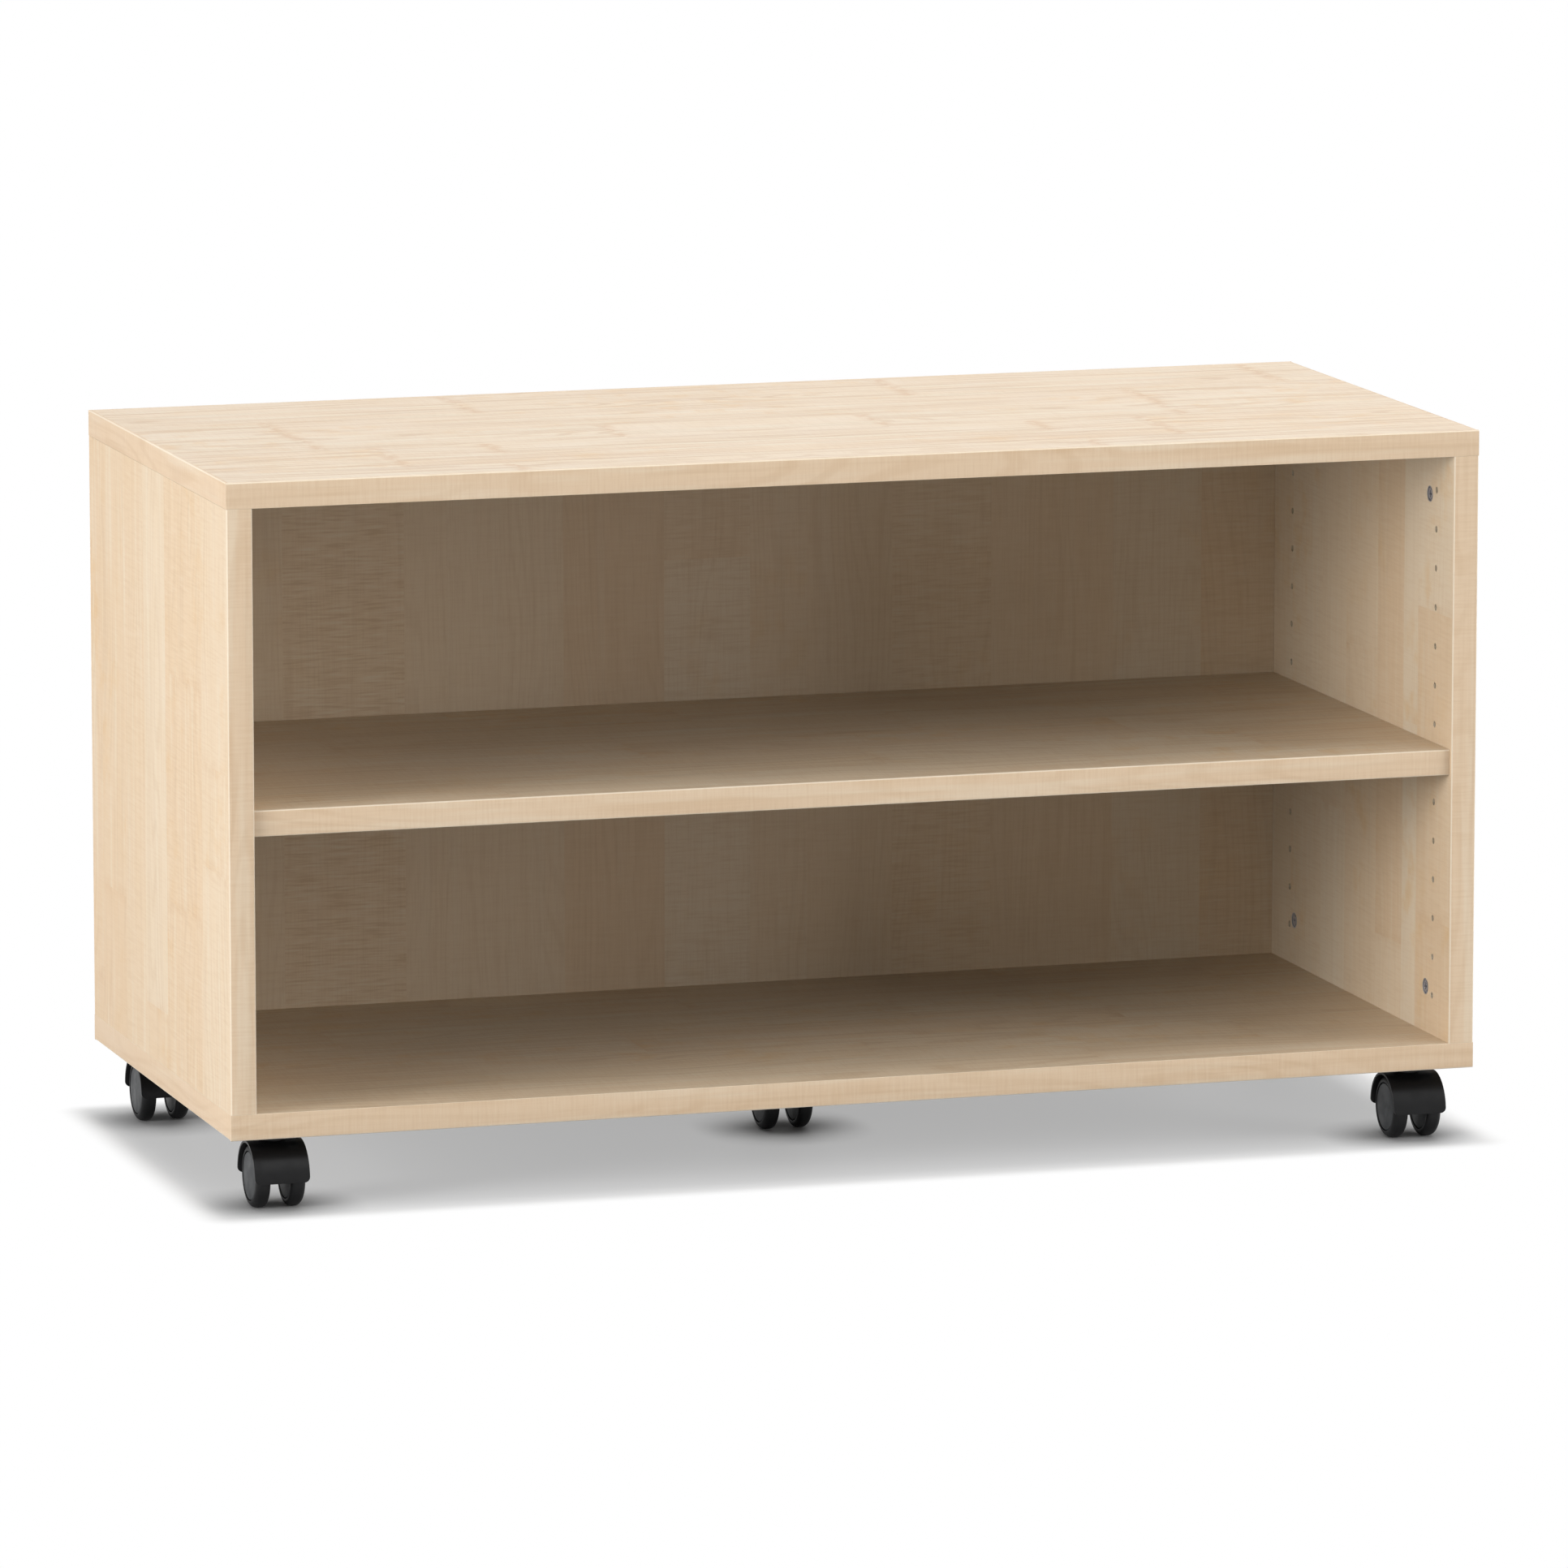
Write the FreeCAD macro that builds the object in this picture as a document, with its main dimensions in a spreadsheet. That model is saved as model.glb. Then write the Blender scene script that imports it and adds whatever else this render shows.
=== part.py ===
# Low open shelf unit in maple board on five hooded twin-wheel casters.
# Millimetres. The origin is on the floor below the middle of the case:
# +X to the unit's right, +Y to its back, +Z up.
import FreeCAD, Part
import math
import os
import re
import Sketcher

doc = FreeCAD.newDocument("rolling_shelf_unit")
sheet = doc.addObject("Spreadsheet::Sheet", "sizes")

SIZES = {
    # Case
    "case_width": 944,
    "case_depth": 408,
    "case_height": 474,
    "board": 19,
    "edging": 2,
    "edging_round": 1.2,
    "back_board": 8,
    "back_inset": 12,
    "groove_depth": 8,
    "groove_play": 0.2,
    # Shelf and the pin holes that carry it
    "pin_bore": 5,
    "pin_bore_depth": 12,
    "pin_pitch": 29,
    "pin_count": 14,
    "below_shelf_pin_count": 6,
    "pin_row_front": 36.5,
    "pin_row_rear": 60,
    "shelf_setback": 4,
    "shelf_end_gap": 1,
    "shelf_back_gap": 1,
    "pin_in_board": 8,
    "pin_in_shelf": 10,
    "pin_flat": 1.5,
    "pin_over_underside": 3.8,
    "pin_slot_play": 0.4,
    # Cam locks, their bolts and the dowels
    "cam_diameter": 12,
    "cam_depth": 12.5,
    "cam_from_end": 34,
    "cam_from_front": 50.5,
    "cam_from_rear": 70.5,
    "cam_recess": 3,
    "cam_recess_span": 6,
    "cam_recess_slot": 1.4,
    "bolt_thread": 7,
    "bolt_thread_long": 11,
    "bolt_shank": 6,
    "bolt_neck": 4,
    "bolt_neck_long": 5,
    "bolt_head_long": 3,
    "dowel_diameter": 8,
    "dowel_long": 30,
    "dowel_in_panel": 10,
    "dowel_chamfer": 1,
    "dowel_step": 32,
    "fit_play": 0.1,
    "end_play": 0.5,
    # Casters
    "caster_height": 55,
    "caster_side_inset": 39,
    "caster_edge_inset": 36.5,
    "caster_trail": 5.5,
    "wheel_width": 11,
    "wheel_outer": 18.5,
    "shoulder_outer": 4.5,
    "shoulder_inner": 3.5,
    "tyre_thick": 5,
    "hub_chamfer": 1,
    "hub_face_inset": 0.3,
    "hub_disc": 2,
    "hub_boss": 12,
    "axle_diameter": 6,
    "axle_end_gap": 0.5,
    "running_play": 0.1,
    "hood_wall": 1.6,
    "hood_gap": 1,
    "hood_half": 20.3,
    "hood_lip": 2,
    "hood_corner": 4,
    "web_width": 13,
    "web_side_gap": 0.3,
    "web_boss": 12,
    "collar_diameter": 20,
    "collar_rise": 2.1,
    "collar_drop": 12,
    "swivel_gap": 0.3,
    "plate_side": 38,
    "plate_thick": 2.5,
    "plate_corner": 3,
    "plate_hole_spacing": 28,
    "kingpin_diameter": 8,
    "kingpin_long": 18,
    "kingpin_flange": 16,
    "kingpin_flange_thick": 1.5,
    "kingpin_bead": 9,
    "kingpin_bead_tall": 2,
    "kingpin_bead_up": 3,
    "kingpin_chamfer": 0.8,
    "screw_diameter": 4,
    "screw_long": 15,
    "screw_point": 3,
    "screw_head": 7.6,
    "screw_head_tall": 1.6,
}
# Sizes that follow from others: the wheel fills the caster's height below the hood, collar and plate
FOLLOWING_SIZES = {
    "caster_head": "=collar_rise + swivel_gap + kingpin_flange_thick + plate_thick",
    "wheel_diameter": "=caster_height - caster_head - hood_wall - hood_gap",
    "hub_diameter": "=wheel_diameter - 2 * tyre_thick",
}
for row, (name, size) in enumerate({**SIZES, **FOLLOWING_SIZES}.items(), start=1):
    sheet.set(f"A{row}", name)
    sheet.set(f"B{row}", str(size))
    sheet.setAlias(f"B{row}", name)
    doc.recompute()

# Places that several pieces share, written in the sheet's names
LEFT = "-case_width / 2"
RIGHT = "case_width / 2"
FRONT = "-case_depth / 2"
REAR = "case_depth / 2"
BASE = "caster_height"
TOP = "caster_height + case_height"
SIDE_LOW = "caster_height + board"
SIDE_HIGH = "caster_height + case_height - board"
SIDE_TALL = "case_height - 2 * board"
CORE_DEPTH = "case_depth - 2 * edging"
BACK_FACE = "case_depth / 2 - back_inset - back_board"
FIRST_PIN = f"{SIDE_LOW} + ({SIDE_TALL} - (pin_count - 1) * pin_pitch) / 2"
SHELF_PIN = f"{FIRST_PIN} + below_shelf_pin_count * pin_pitch"
SHELF_LOW = f"{SHELF_PIN} - pin_over_underside"
SHELF_WIDE = "case_width - 2 * board - 2 * shelf_end_gap"
SHELF_FRONT = f"{FRONT} + shelf_setback"
SHELF_DEEP = f"{BACK_FACE} - shelf_back_gap - ({SHELF_FRONT})"
CAM_ROWS = {"front": f"{FRONT} + cam_from_front", "rear": f"{REAR} - cam_from_rear"}
DOWEL_ROWS = {
    "front": f"{FRONT} + cam_from_front + dowel_step",
    "rear": f"{REAR} - cam_from_rear - dowel_step",
}
PIN_ROWS = {"front": f"{FRONT} + pin_row_front", "rear": f"{REAR} - pin_row_rear"}
SIDES = {"left": -1, "right": 1}
ENDS = {"lower": 1, "upper": -1}
CASTERS = {
    "front_left": (f"{LEFT} + caster_side_inset", f"{FRONT} + caster_edge_inset"),
    "front_right": (f"{RIGHT} - caster_side_inset", f"{FRONT} + caster_edge_inset"),
    "rear_left": (f"{LEFT} + caster_side_inset", f"{REAR} - caster_edge_inset"),
    "rear_right": (f"{RIGHT} - caster_side_inset", f"{REAR} - caster_edge_inset"),
    "middle": ("0", "0"),
}
AXLE_Y = "-caster_trail"
AXLE_Z = "wheel_diameter / 2"
HOOD_IN = "wheel_diameter / 2 + hood_gap"
HOOD_OUT = "wheel_diameter / 2 + hood_gap + hood_wall"
PLATE_LOW = "caster_height - plate_thick"
COLLAR_TOP = f"{PLATE_LOW} - kingpin_flange_thick - swivel_gap"
KINGPIN_LOW = f"{COLLAR_TOP} - kingpin_long"
WHEEL_INNER = "wheel_outer - wheel_width"
GROOVE_FRONT = f"{BACK_FACE} - groove_play"
GROOVE_WIDE = "back_board + 2 * groove_play"
GROOVE_DEEP = "groove_depth + groove_play"

X = FreeCAD.Vector(1, 0, 0)
Y = FreeCAD.Vector(0, 1, 0)
Z = FreeCAD.Vector(0, 0, 1)
pieces = []


# Binding and placing
def sized(text):
    """The text with each size's name pointing at its cell in the sheet."""
    return re.sub(r"[a-z][a-z_]+", lambda word: "sizes." + word.group(0), text)


def number(text):
    return float(sheet.evalExpression(sized(text)))


def bind(thing, prop, text):
    thing.setExpression(prop, sized(text))


def place(thing, at, rotation=None):
    if rotation:
        thing.Placement = FreeCAD.Placement(FreeCAD.Vector(), rotation)
    for axis, text in zip("xyz", at):
        bind(thing, f"Placement.Base.{axis}", text)
    return thing


def along(direction):
    """A turn that takes a piece's own +Z to the given direction."""
    return FreeCAD.Rotation(Z, direction)


def keep(thing, label):
    """Names a finished sub-part, which is then written under that name."""
    thing.Label = label
    pieces.append(thing)
    return thing


# Plain solids and booleans
def box(name, at, size):
    solid = doc.addObject("Part::Box", name)
    for prop, text in zip(("Length", "Width", "Height"), size):
        bind(solid, prop, text)
    return place(solid, at)


def rod(name, at, direction, diameter, length):
    solid = doc.addObject("Part::Cylinder", name)
    bind(solid, "Radius", f"({diameter}) / 2")
    bind(solid, "Height", length)
    return place(solid, at, along(direction))


def joined(name, solids):
    union = doc.addObject("Part::MultiFuse", name)
    union.Shapes = solids
    return union


def cut(name, base, tools):
    result = doc.addObject("Part::Cut", name)
    result.Base = base
    result.Tool = joined(f"{name}_cuts", tools) if len(tools) > 1 else tools[0]
    return result


def group(name, solids):
    together = doc.addObject("Part::Compound", name)
    together.Links = solids
    return keep(together, name)


# Sketched bodies
def origin_plane(body, role):
    return next(plane for plane in body.Origin.OriginFeatures if plane.Role == role)


def sketch_on(body, role, name, lift=None):
    sketch = body.newObject("Sketcher::SketchObject", name)
    sketch.AttachmentSupport = (origin_plane(body, role), [""])
    sketch.MapMode = "FlatFace"
    if lift:
        bind(sketch, "AttachmentOffset.Base.z", lift)
    return sketch


def pin_point(sketch, shape, end, point):
    """Ties a point of a sketch to its place, measured from the sketch's origin."""
    for kind, text, axis in zip(("DistanceX", "DistanceY"), point, (-2, -1)):
        if text == "0":
            sketch.addConstraint(Sketcher.Constraint("PointOnObject", shape, end, axis))
            continue
        tie = sketch.addConstraint(Sketcher.Constraint(kind, -1, 1, shape, end, number(text)))
        bind(sketch, f"Constraints[{tie}]", text)


def spot(point):
    return FreeCAD.Vector(number(point[0]), number(point[1]), 0)


def outline(sketch, points, arched=False):
    """A closed outline through points. With arched, its first side is a half circle over the axle."""
    count = len(points)
    for side in range(count):
        start, end = spot(points[side]), spot(points[(side + 1) % count])
        if arched and side == 0:
            middle = (start + end) / 2
            circle = Part.Circle(middle, Z, (start - end).Length / 2)
            sketch.addGeometry(Part.ArcOfCircle(circle, 0, math.pi))
        else:
            sketch.addGeometry(Part.LineSegment(start, end))
    for side in range(count):
        sketch.addConstraint(Sketcher.Constraint("Coincident", side, 2, (side + 1) % count, 1))
    for side, point in enumerate(points):
        pin_point(sketch, side, 1, point)
    if arched:
        tie = sketch.addConstraint(Sketcher.Constraint("DistanceY", -1, 1, 0, 3, number(AXLE_Z)))
        bind(sketch, f"Constraints[{tie}]", AXLE_Z)


def circle(sketch, point, diameter):
    shape = sketch.addGeometry(Part.Circle(spot(point), Z, number(diameter) / 2))
    tie = sketch.addConstraint(Sketcher.Constraint("Diameter", shape, number(diameter)))
    bind(sketch, f"Constraints[{tie}]", diameter)
    pin_point(sketch, shape, 3, point)


def new_body(name):
    return doc.addObject("PartDesign::Body", name)


def pad(body, sketch, length, both_ways=False):
    feature = body.newObject("PartDesign::Pad", f"{sketch.Name}_pad")
    feature.Profile = sketch
    bind(feature, "Length", length)
    if both_ways:
        feature.SideType = "Symmetric"
    return feature


def pocket_through(body, sketch):
    feature = body.newObject("PartDesign::Pocket", f"{sketch.Name}_pocket")
    feature.Profile = sketch
    feature.Type = "ThroughAll"
    feature.SideType = "Symmetric"
    return feature


def spun(body, sketch, kind):
    feature = body.newObject(f"PartDesign::{kind}", f"{sketch.Name}_spun")
    feature.Profile = sketch
    feature.ReferenceAxis = (sketch, ["V_Axis"])
    feature.Angle = 360
    return feature


def turned(name, profile):
    """A lathe-turned piece about its own Z, from points of (radius, height)."""
    body = new_body(name)
    sketch = sketch_on(body, "XZ_Plane", f"{name}_profile")
    outline(sketch, profile)
    spun(body, sketch, "Revolution")
    return body


def rounded(body, base, radius, wanted):
    """Rounds those edges of the last feature that pass the test."""
    doc.recompute()
    edges = base.Shape.Edges
    names = [f"Edge{i}" for i, edge in enumerate(edges, start=1) if wanted(edge)]
    fillet = body.newObject("PartDesign::Fillet", f"{base.Name}_round")
    fillet.Base = (base, names)
    bind(fillet, "Radius", radius)
    return fillet


def near(a, b):
    return abs(a - b) < 1e-4


# Boards, drilled and grooved
def side_panel(side, sign):
    name = f"{side}_side_panel"
    outer = LEFT if sign < 0 else f"{RIGHT} - board"
    inner = f"{sign} * (case_width / 2 - board)"
    middle = f"{sign} * (case_width / 2 - board / 2)"
    core = box(f"{name}_core", (outer, f"{FRONT} + edging", SIDE_LOW), ("board", CORE_DEPTH, SIDE_TALL))
    outward = X * sign
    cuts = []
    for row, y in PIN_ROWS.items():
        for hole in range(int(number("pin_count"))):
            at = (inner, y, f"{FIRST_PIN} + {hole} * pin_pitch")
            cuts.append(rod(f"{name}_{row}_pin_hole", at, outward, "pin_bore", "pin_bore_depth"))
    for end, up in ENDS.items():
        face = SIDE_LOW if up > 0 else SIDE_HIGH
        for row, y in CAM_ROWS.items():
            cam_at = (inner, y, f"{face} + {up} * cam_from_end")
            bore = "cam_diameter + fit_play"
            cuts.append(rod(f"{name}_{end}_{row}_cam_hole", cam_at, outward, bore, "cam_depth + end_play"))
            bolt_bore = "bolt_shank + fit_play"
            cuts.append(rod(f"{name}_{end}_{row}_bolt_hole", (middle, y, face), Z * up, bolt_bore, "cam_from_end"))
        for row, y in DOWEL_ROWS.items():
            deep = "dowel_long - dowel_in_panel + end_play"
            bore = "dowel_diameter + fit_play"
            cuts.append(rod(f"{name}_{end}_{row}_dowel_hole", (middle, y, face), Z * up, bore, deep))
    groove_x = f"{inner} - groove_play" if sign > 0 else f"{inner} - groove_depth"
    groove_at = (groove_x, GROOVE_FRONT, f"{SIDE_LOW} - groove_play")
    groove_size = (GROOVE_DEEP, GROOVE_WIDE, f"{SIDE_TALL} + 2 * groove_play")
    cuts.append(box(f"{name}_groove", groove_at, groove_size))
    keep(cut(name, core, cuts), name)


def flat_panel(name, low, inner, up):
    """The top or bottom panel. Its inner face carries bolts, dowels and the back's groove."""
    width = "case_width - 2 * edging"
    core = box(f"{name}_core", (f"{LEFT} + edging", f"{FRONT} + edging", low), (width, CORE_DEPTH, "board"))
    cuts = []
    for side, sign in SIDES.items():
        x = f"{sign} * (case_width / 2 - board / 2)"
        for row, y in CAM_ROWS.items():
            bore = "bolt_thread + fit_play"
            deep = "bolt_thread_long + end_play"
            cuts.append(rod(f"{name}_{side}_{row}_bolt_hole", (x, y, inner), Z * -up, bore, deep))
        for row, y in DOWEL_ROWS.items():
            bore = "dowel_diameter + fit_play"
            deep = "dowel_in_panel + end_play"
            cuts.append(rod(f"{name}_{side}_{row}_dowel_hole", (x, y, inner), Z * -up, bore, deep))
    groove_z = f"{inner} - groove_depth" if up > 0 else f"{inner} - groove_play"
    groove_at = (f"{LEFT} + board - groove_depth", GROOVE_FRONT, groove_z)
    groove_wide = "case_width - 2 * board + 2 * groove_depth"
    cuts.append(box(f"{name}_groove", groove_at, (groove_wide, GROOVE_WIDE, GROOVE_DEEP)))
    if up > 0:
        for caster, (x, y) in CASTERS.items():
            for at in screw_spots(x, y, BASE):
                bore = "screw_diameter + fit_play"
                deep = "screw_long - plate_thick + end_play"
                cuts.append(rod(f"{name}_{caster}_screw_hole", at, Z, bore, deep))
    keep(cut(name, core, cuts), name)


def back_panel():
    at = (f"{LEFT} + board - groove_depth", BACK_FACE, f"{SIDE_LOW} - groove_depth")
    wide = "case_width - 2 * board + 2 * groove_depth"
    tall = f"{SIDE_TALL} + 2 * groove_depth"
    keep(box("back_panel", at, (wide, "back_board", tall)), "back_panel")


def shelf():
    at = (f"-({SHELF_WIDE}) / 2", f"{SHELF_FRONT} + edging", SHELF_LOW)
    core = box("shelf_core", at, (SHELF_WIDE, f"{SHELF_DEEP} - edging", "board"))
    slots = []
    for side, sign in SIDES.items():
        inner = f"{LEFT} + board" if sign < 0 else f"{RIGHT} - board - pin_in_shelf - end_play"
        for row, y in PIN_ROWS.items():
            at = (inner, f"{y} - (pin_bore + pin_slot_play) / 2", SHELF_LOW)
            size = ("pin_in_shelf + end_play", "pin_bore + pin_slot_play", "pin_over_underside + pin_flat")
            slots.append(box(f"shelf_{side}_{row}_slot", at, size))
    keep(cut("shelf", core, slots), "shelf")


# Edging strips, with their outer long edges rounded
def strip(name, run, out, at, length):
    body = new_body(name)
    sketch = sketch_on(body, "XY_Plane", f"{name}_section")
    outline(sketch, [("0", "0"), ("edging", "0"), ("edging", "board"), ("0", "board")])
    section = pad(body, sketch, length)

    def outer_edge(edge):
        start, end = edge.Vertexes[0].Point, edge.Vertexes[-1].Point
        return near(start.x, number("edging")) and near(end.x, start.x) and near(end.y, start.y)

    rounded(body, section, "edging_round", outer_edge)
    return place(body, at, FreeCAD.Rotation(out, run.cross(out), run, "ZXY"))


def flat_panel_edging(name, low, high):
    """Strips round a flat panel: front and rear run full width, the ends fit between them."""
    front, rear = f"{FRONT} + edging", f"{REAR} - edging"
    return group(name, [
        strip(f"{name}_front", X, -Y, (LEFT, front, high), "case_width"),
        strip(f"{name}_rear", X, Y, (LEFT, rear, low), "case_width"),
        strip(f"{name}_left", Y, -X, (f"{LEFT} + edging", front, low), CORE_DEPTH),
        strip(f"{name}_right", Y, X, (f"{RIGHT} - edging", front, high), CORE_DEPTH),
    ])


def side_panel_edging(side, sign):
    name = f"{side}_side_edging"
    outer = LEFT if sign < 0 else f"{RIGHT} - board"
    return group(name, [
        strip(f"{name}_front", Z, -Y, (outer, f"{FRONT} + edging", SIDE_LOW), SIDE_TALL),
        strip(f"{name}_rear", Z, Y, (f"{outer} + board", f"{REAR} - edging", SIDE_LOW), SIDE_TALL),
    ])


def shelf_edging():
    at = (f"-({SHELF_WIDE}) / 2", f"{SHELF_FRONT} + edging", f"{SHELF_LOW} + board")
    keep(strip("shelf_edging", X, -Y, at, SHELF_WIDE), "shelf_edging")


# Fittings inside the boards
def cam_lock(name, inner, y, z, sign, up):
    """A cam in the board's inner face, with a cross recess and the bore that takes the bolt's head."""
    outward = X * sign
    body = rod(f"{name}_drum", (inner, y, z), outward, "cam_diameter", "cam_depth")
    deep = "cam_recess"
    x = f"{inner} - {0 if sign > 0 else 1} * cam_recess"
    cuts = [
        box(f"{name}_cross_a", (x, f"{y} - cam_recess_span / 2", f"{z} - cam_recess_slot / 2"),
            (deep, "cam_recess_span", "cam_recess_slot")),
        box(f"{name}_cross_b", (x, f"{y} - cam_recess_slot / 2", f"{z} - cam_recess_span / 2"),
            (deep, "cam_recess_slot", "cam_recess_span")),
        rod(f"{name}_bolt_way", (f"{inner} + {sign} * board / 2", y, z), Z * -up, "bolt_shank + fit_play",
            "cam_diameter"),
    ]
    return cut(name, body, cuts)


def cam_bolt(name, x, y, face, up):
    """A bolt screwed into the flat panel, with a neck and head that the cam pulls on."""
    head_low = "cam_from_end - bolt_head_long"
    neck_low = f"{head_low} - bolt_neck_long"
    body = turned(name, [
        ("0", "-bolt_thread_long"),
        ("bolt_thread / 2", "-bolt_thread_long"),
        ("bolt_thread / 2", "0"),
        ("bolt_shank / 2", "0"),
        ("bolt_shank / 2", neck_low),
        ("bolt_neck / 2", neck_low),
        ("bolt_neck / 2", head_low),
        ("bolt_shank / 2", head_low),
        ("bolt_shank / 2", "cam_from_end"),
        ("0", "cam_from_end"),
    ])
    return place(body, (x, y, face), along(Z * up))


def dowel(name, x, y, face, up):
    into = "-dowel_in_panel"
    out = "dowel_long - dowel_in_panel"
    body = turned(name, [
        ("0", into),
        ("dowel_diameter / 2 - dowel_chamfer", into),
        ("dowel_diameter / 2", f"{into} + dowel_chamfer"),
        ("dowel_diameter / 2", f"{out} - dowel_chamfer"),
        ("dowel_diameter / 2 - dowel_chamfer", out),
        ("0", out),
    ])
    return place(body, (x, y, face), along(Z * up))


def joint_fittings():
    cams, bolts, dowels = [], [], []
    for side, sign in SIDES.items():
        inner = f"{sign} * (case_width / 2 - board)"
        middle = f"{sign} * (case_width / 2 - board / 2)"
        for end, up in ENDS.items():
            face = SIDE_LOW if up > 0 else SIDE_HIGH
            for row, y in CAM_ROWS.items():
                z = f"{face} + {up} * cam_from_end"
                cams.append(cam_lock(f"cam_{side}_{end}_{row}", inner, y, z, sign, up))
                bolts.append(cam_bolt(f"bolt_{side}_{end}_{row}", middle, y, face, up))
            for row, y in DOWEL_ROWS.items():
                dowels.append(dowel(f"dowel_{side}_{end}_{row}", middle, y, face, up))
    group("cam_locks", cams)
    group("cam_bolts", bolts)
    group("dowels", dowels)


def shelf_pins():
    """Pins in the side boards. The stretch under the shelf has a flat on top, which the shelf sits on."""
    pins = []
    for side, sign in SIDES.items():
        inner = f"{sign} * (case_width / 2 - board)"
        for row, y in PIN_ROWS.items():
            name = f"shelf_pin_{side}_{row}"
            start = f"{inner} + {sign} * pin_in_board"
            long = "pin_in_board + pin_in_shelf"
            body = rod(f"{name}_rod", (start, y, SHELF_PIN), X * -sign, "pin_bore - fit_play", long)
            flat_x = inner if sign < 0 else f"{inner} - pin_in_shelf"
            flat_at = (flat_x, f"{y} - pin_bore / 2", f"{SHELF_PIN} + pin_flat")
            flat = box(f"{name}_flat", flat_at, ("pin_in_shelf", "pin_bore", "pin_bore"))
            pins.append(cut(name, body, [flat]))
    group("shelf_pins", pins)


# Casters
def screw_spots(x, y, z):
    half = "plate_hole_spacing / 2"
    return [(f"{x} + {i} * {half}", f"{y} + {j} * {half}", z) for i in (-1, 1) for j in (-1, 1)]


def caster_plate(name, at):
    body = new_body(name)
    half = "plate_side / 2"
    square = sketch_on(body, "XY_Plane", f"{name}_square", PLATE_LOW)
    corners = [(f"-{half}", f"-{half}"), (half, f"-{half}"), (half, half), (f"-{half}", half)]
    outline(square, corners)
    slab = pad(body, square, "plate_thick")

    def upright(edge):
        start, end = edge.Vertexes[0].Point, edge.Vertexes[-1].Point
        return near(start.x, end.x) and near(start.y, end.y)

    rounded(body, slab, "plate_corner", upright)
    holes = sketch_on(body, "XY_Plane", f"{name}_holes", PLATE_LOW)
    circle(holes, ("0", "0"), "kingpin_diameter + fit_play")
    for x, y, _ in screw_spots("0", "0", "0"):
        circle(holes, (x, y), "screw_diameter + 2 * fit_play")
    pocket_through(body, holes)
    keep(place(body, at), name)


def bead_steps(play):
    """Half of the kingpin's outline past its bead, or with a play added, of the bore around it."""
    shank, bead = f"kingpin_diameter / 2 + {play}", f"kingpin_bead / 2 + {play}"
    low = f"{KINGPIN_LOW} + kingpin_bead_up"
    step = "(kingpin_bead - kingpin_diameter) / 2"
    return [
        (shank, f"{low} - {play}"),
        (bead, f"{low} + {step} - {play}"),
        (bead, f"{low} + kingpin_bead_tall - {step} + {play}"),
        (shank, f"{low} + kingpin_bead_tall + {play}"),
    ]


def kingpin(name, at):
    body = turned(name, [
        ("0", KINGPIN_LOW),
        ("kingpin_diameter / 2 - kingpin_chamfer", KINGPIN_LOW),
        ("kingpin_diameter / 2", f"{KINGPIN_LOW} + kingpin_chamfer"),
        *bead_steps("0"),
        ("kingpin_diameter / 2", f"{PLATE_LOW} - kingpin_flange_thick"),
        ("kingpin_flange / 2", f"{PLATE_LOW} - kingpin_flange_thick"),
        ("kingpin_flange / 2", PLATE_LOW),
        ("kingpin_diameter / 2", PLATE_LOW),
        ("kingpin_diameter / 2", BASE),
        ("0", BASE),
    ])
    keep(place(body, at), name)


def arch(radius, drop):
    """Points of a half-round arch over the axle, with straight sides that drop below it."""
    front, rear = f"{AXLE_Y} - ({radius})", f"{AXLE_Y} + {radius}"
    low = f"{AXLE_Z} - ({drop})"
    return [(rear, AXLE_Z), (front, AXLE_Z), (front, low), (rear, low)]


def caster_hood(name, at):
    """An arched shell over both wheels, with a web between them that holds the axle and the kingpin."""
    body = new_body(name)
    outer = sketch_on(body, "YZ_Plane", f"{name}_outer")
    outline(outer, arch(HOOD_OUT, "hood_lip"), arched=True)
    pad(body, outer, "2 * hood_half", both_ways=True)
    collar = sketch_on(body, "XY_Plane", f"{name}_collar", f"{COLLAR_TOP} - collar_drop")
    circle(collar, ("0", "0"), "collar_diameter")
    pad(body, collar, "collar_drop")
    hollow = sketch_on(body, "YZ_Plane", f"{name}_hollow")
    outline(hollow, arch(HOOD_IN, "hood_lip + hood_gap"), arched=True)
    pocket_through(body, hollow)
    web = sketch_on(body, "YZ_Plane", f"{name}_web")
    outline(web, arch("wheel_diameter / 2 + hood_gap + hood_wall / 2", "hood_gap"), arched=True)
    pad(body, web, "web_width", both_ways=True)
    boss = sketch_on(body, "YZ_Plane", f"{name}_boss")
    circle(boss, (AXLE_Y, AXLE_Z), "web_boss")
    pad(body, boss, "web_width", both_ways=True)
    axle_way = sketch_on(body, "YZ_Plane", f"{name}_axle_way")
    circle(axle_way, (AXLE_Y, AXLE_Z), "axle_diameter + fit_play")
    pocket_through(body, axle_way)
    pin_way = sketch_on(body, "XZ_Plane", f"{name}_pin_way")
    bore = "(kingpin_diameter + running_play) / 2"
    outline(pin_way, [
        ("0", f"{KINGPIN_LOW} - end_play"),
        (bore, f"{KINGPIN_LOW} - end_play"),
        *bead_steps("running_play / 2"),
        (bore, f"{COLLAR_TOP} + swivel_gap"),
        ("0", f"{COLLAR_TOP} + swivel_gap"),
    ])
    bored = spun(body, pin_way, "Groove")

    def lip_corner(edge):
        start, end = edge.Vertexes[0].Point, edge.Vertexes[-1].Point
        at_end = near(abs(start.x), number("hood_half")) and near(start.x, end.x)
        at_lip = near(start.z, number(f"{AXLE_Z} - hood_lip")) and near(start.z, end.z)
        return at_end and at_lip

    rounded(body, bored, "hood_corner", lip_corner)
    keep(place(body, at), name)


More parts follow.
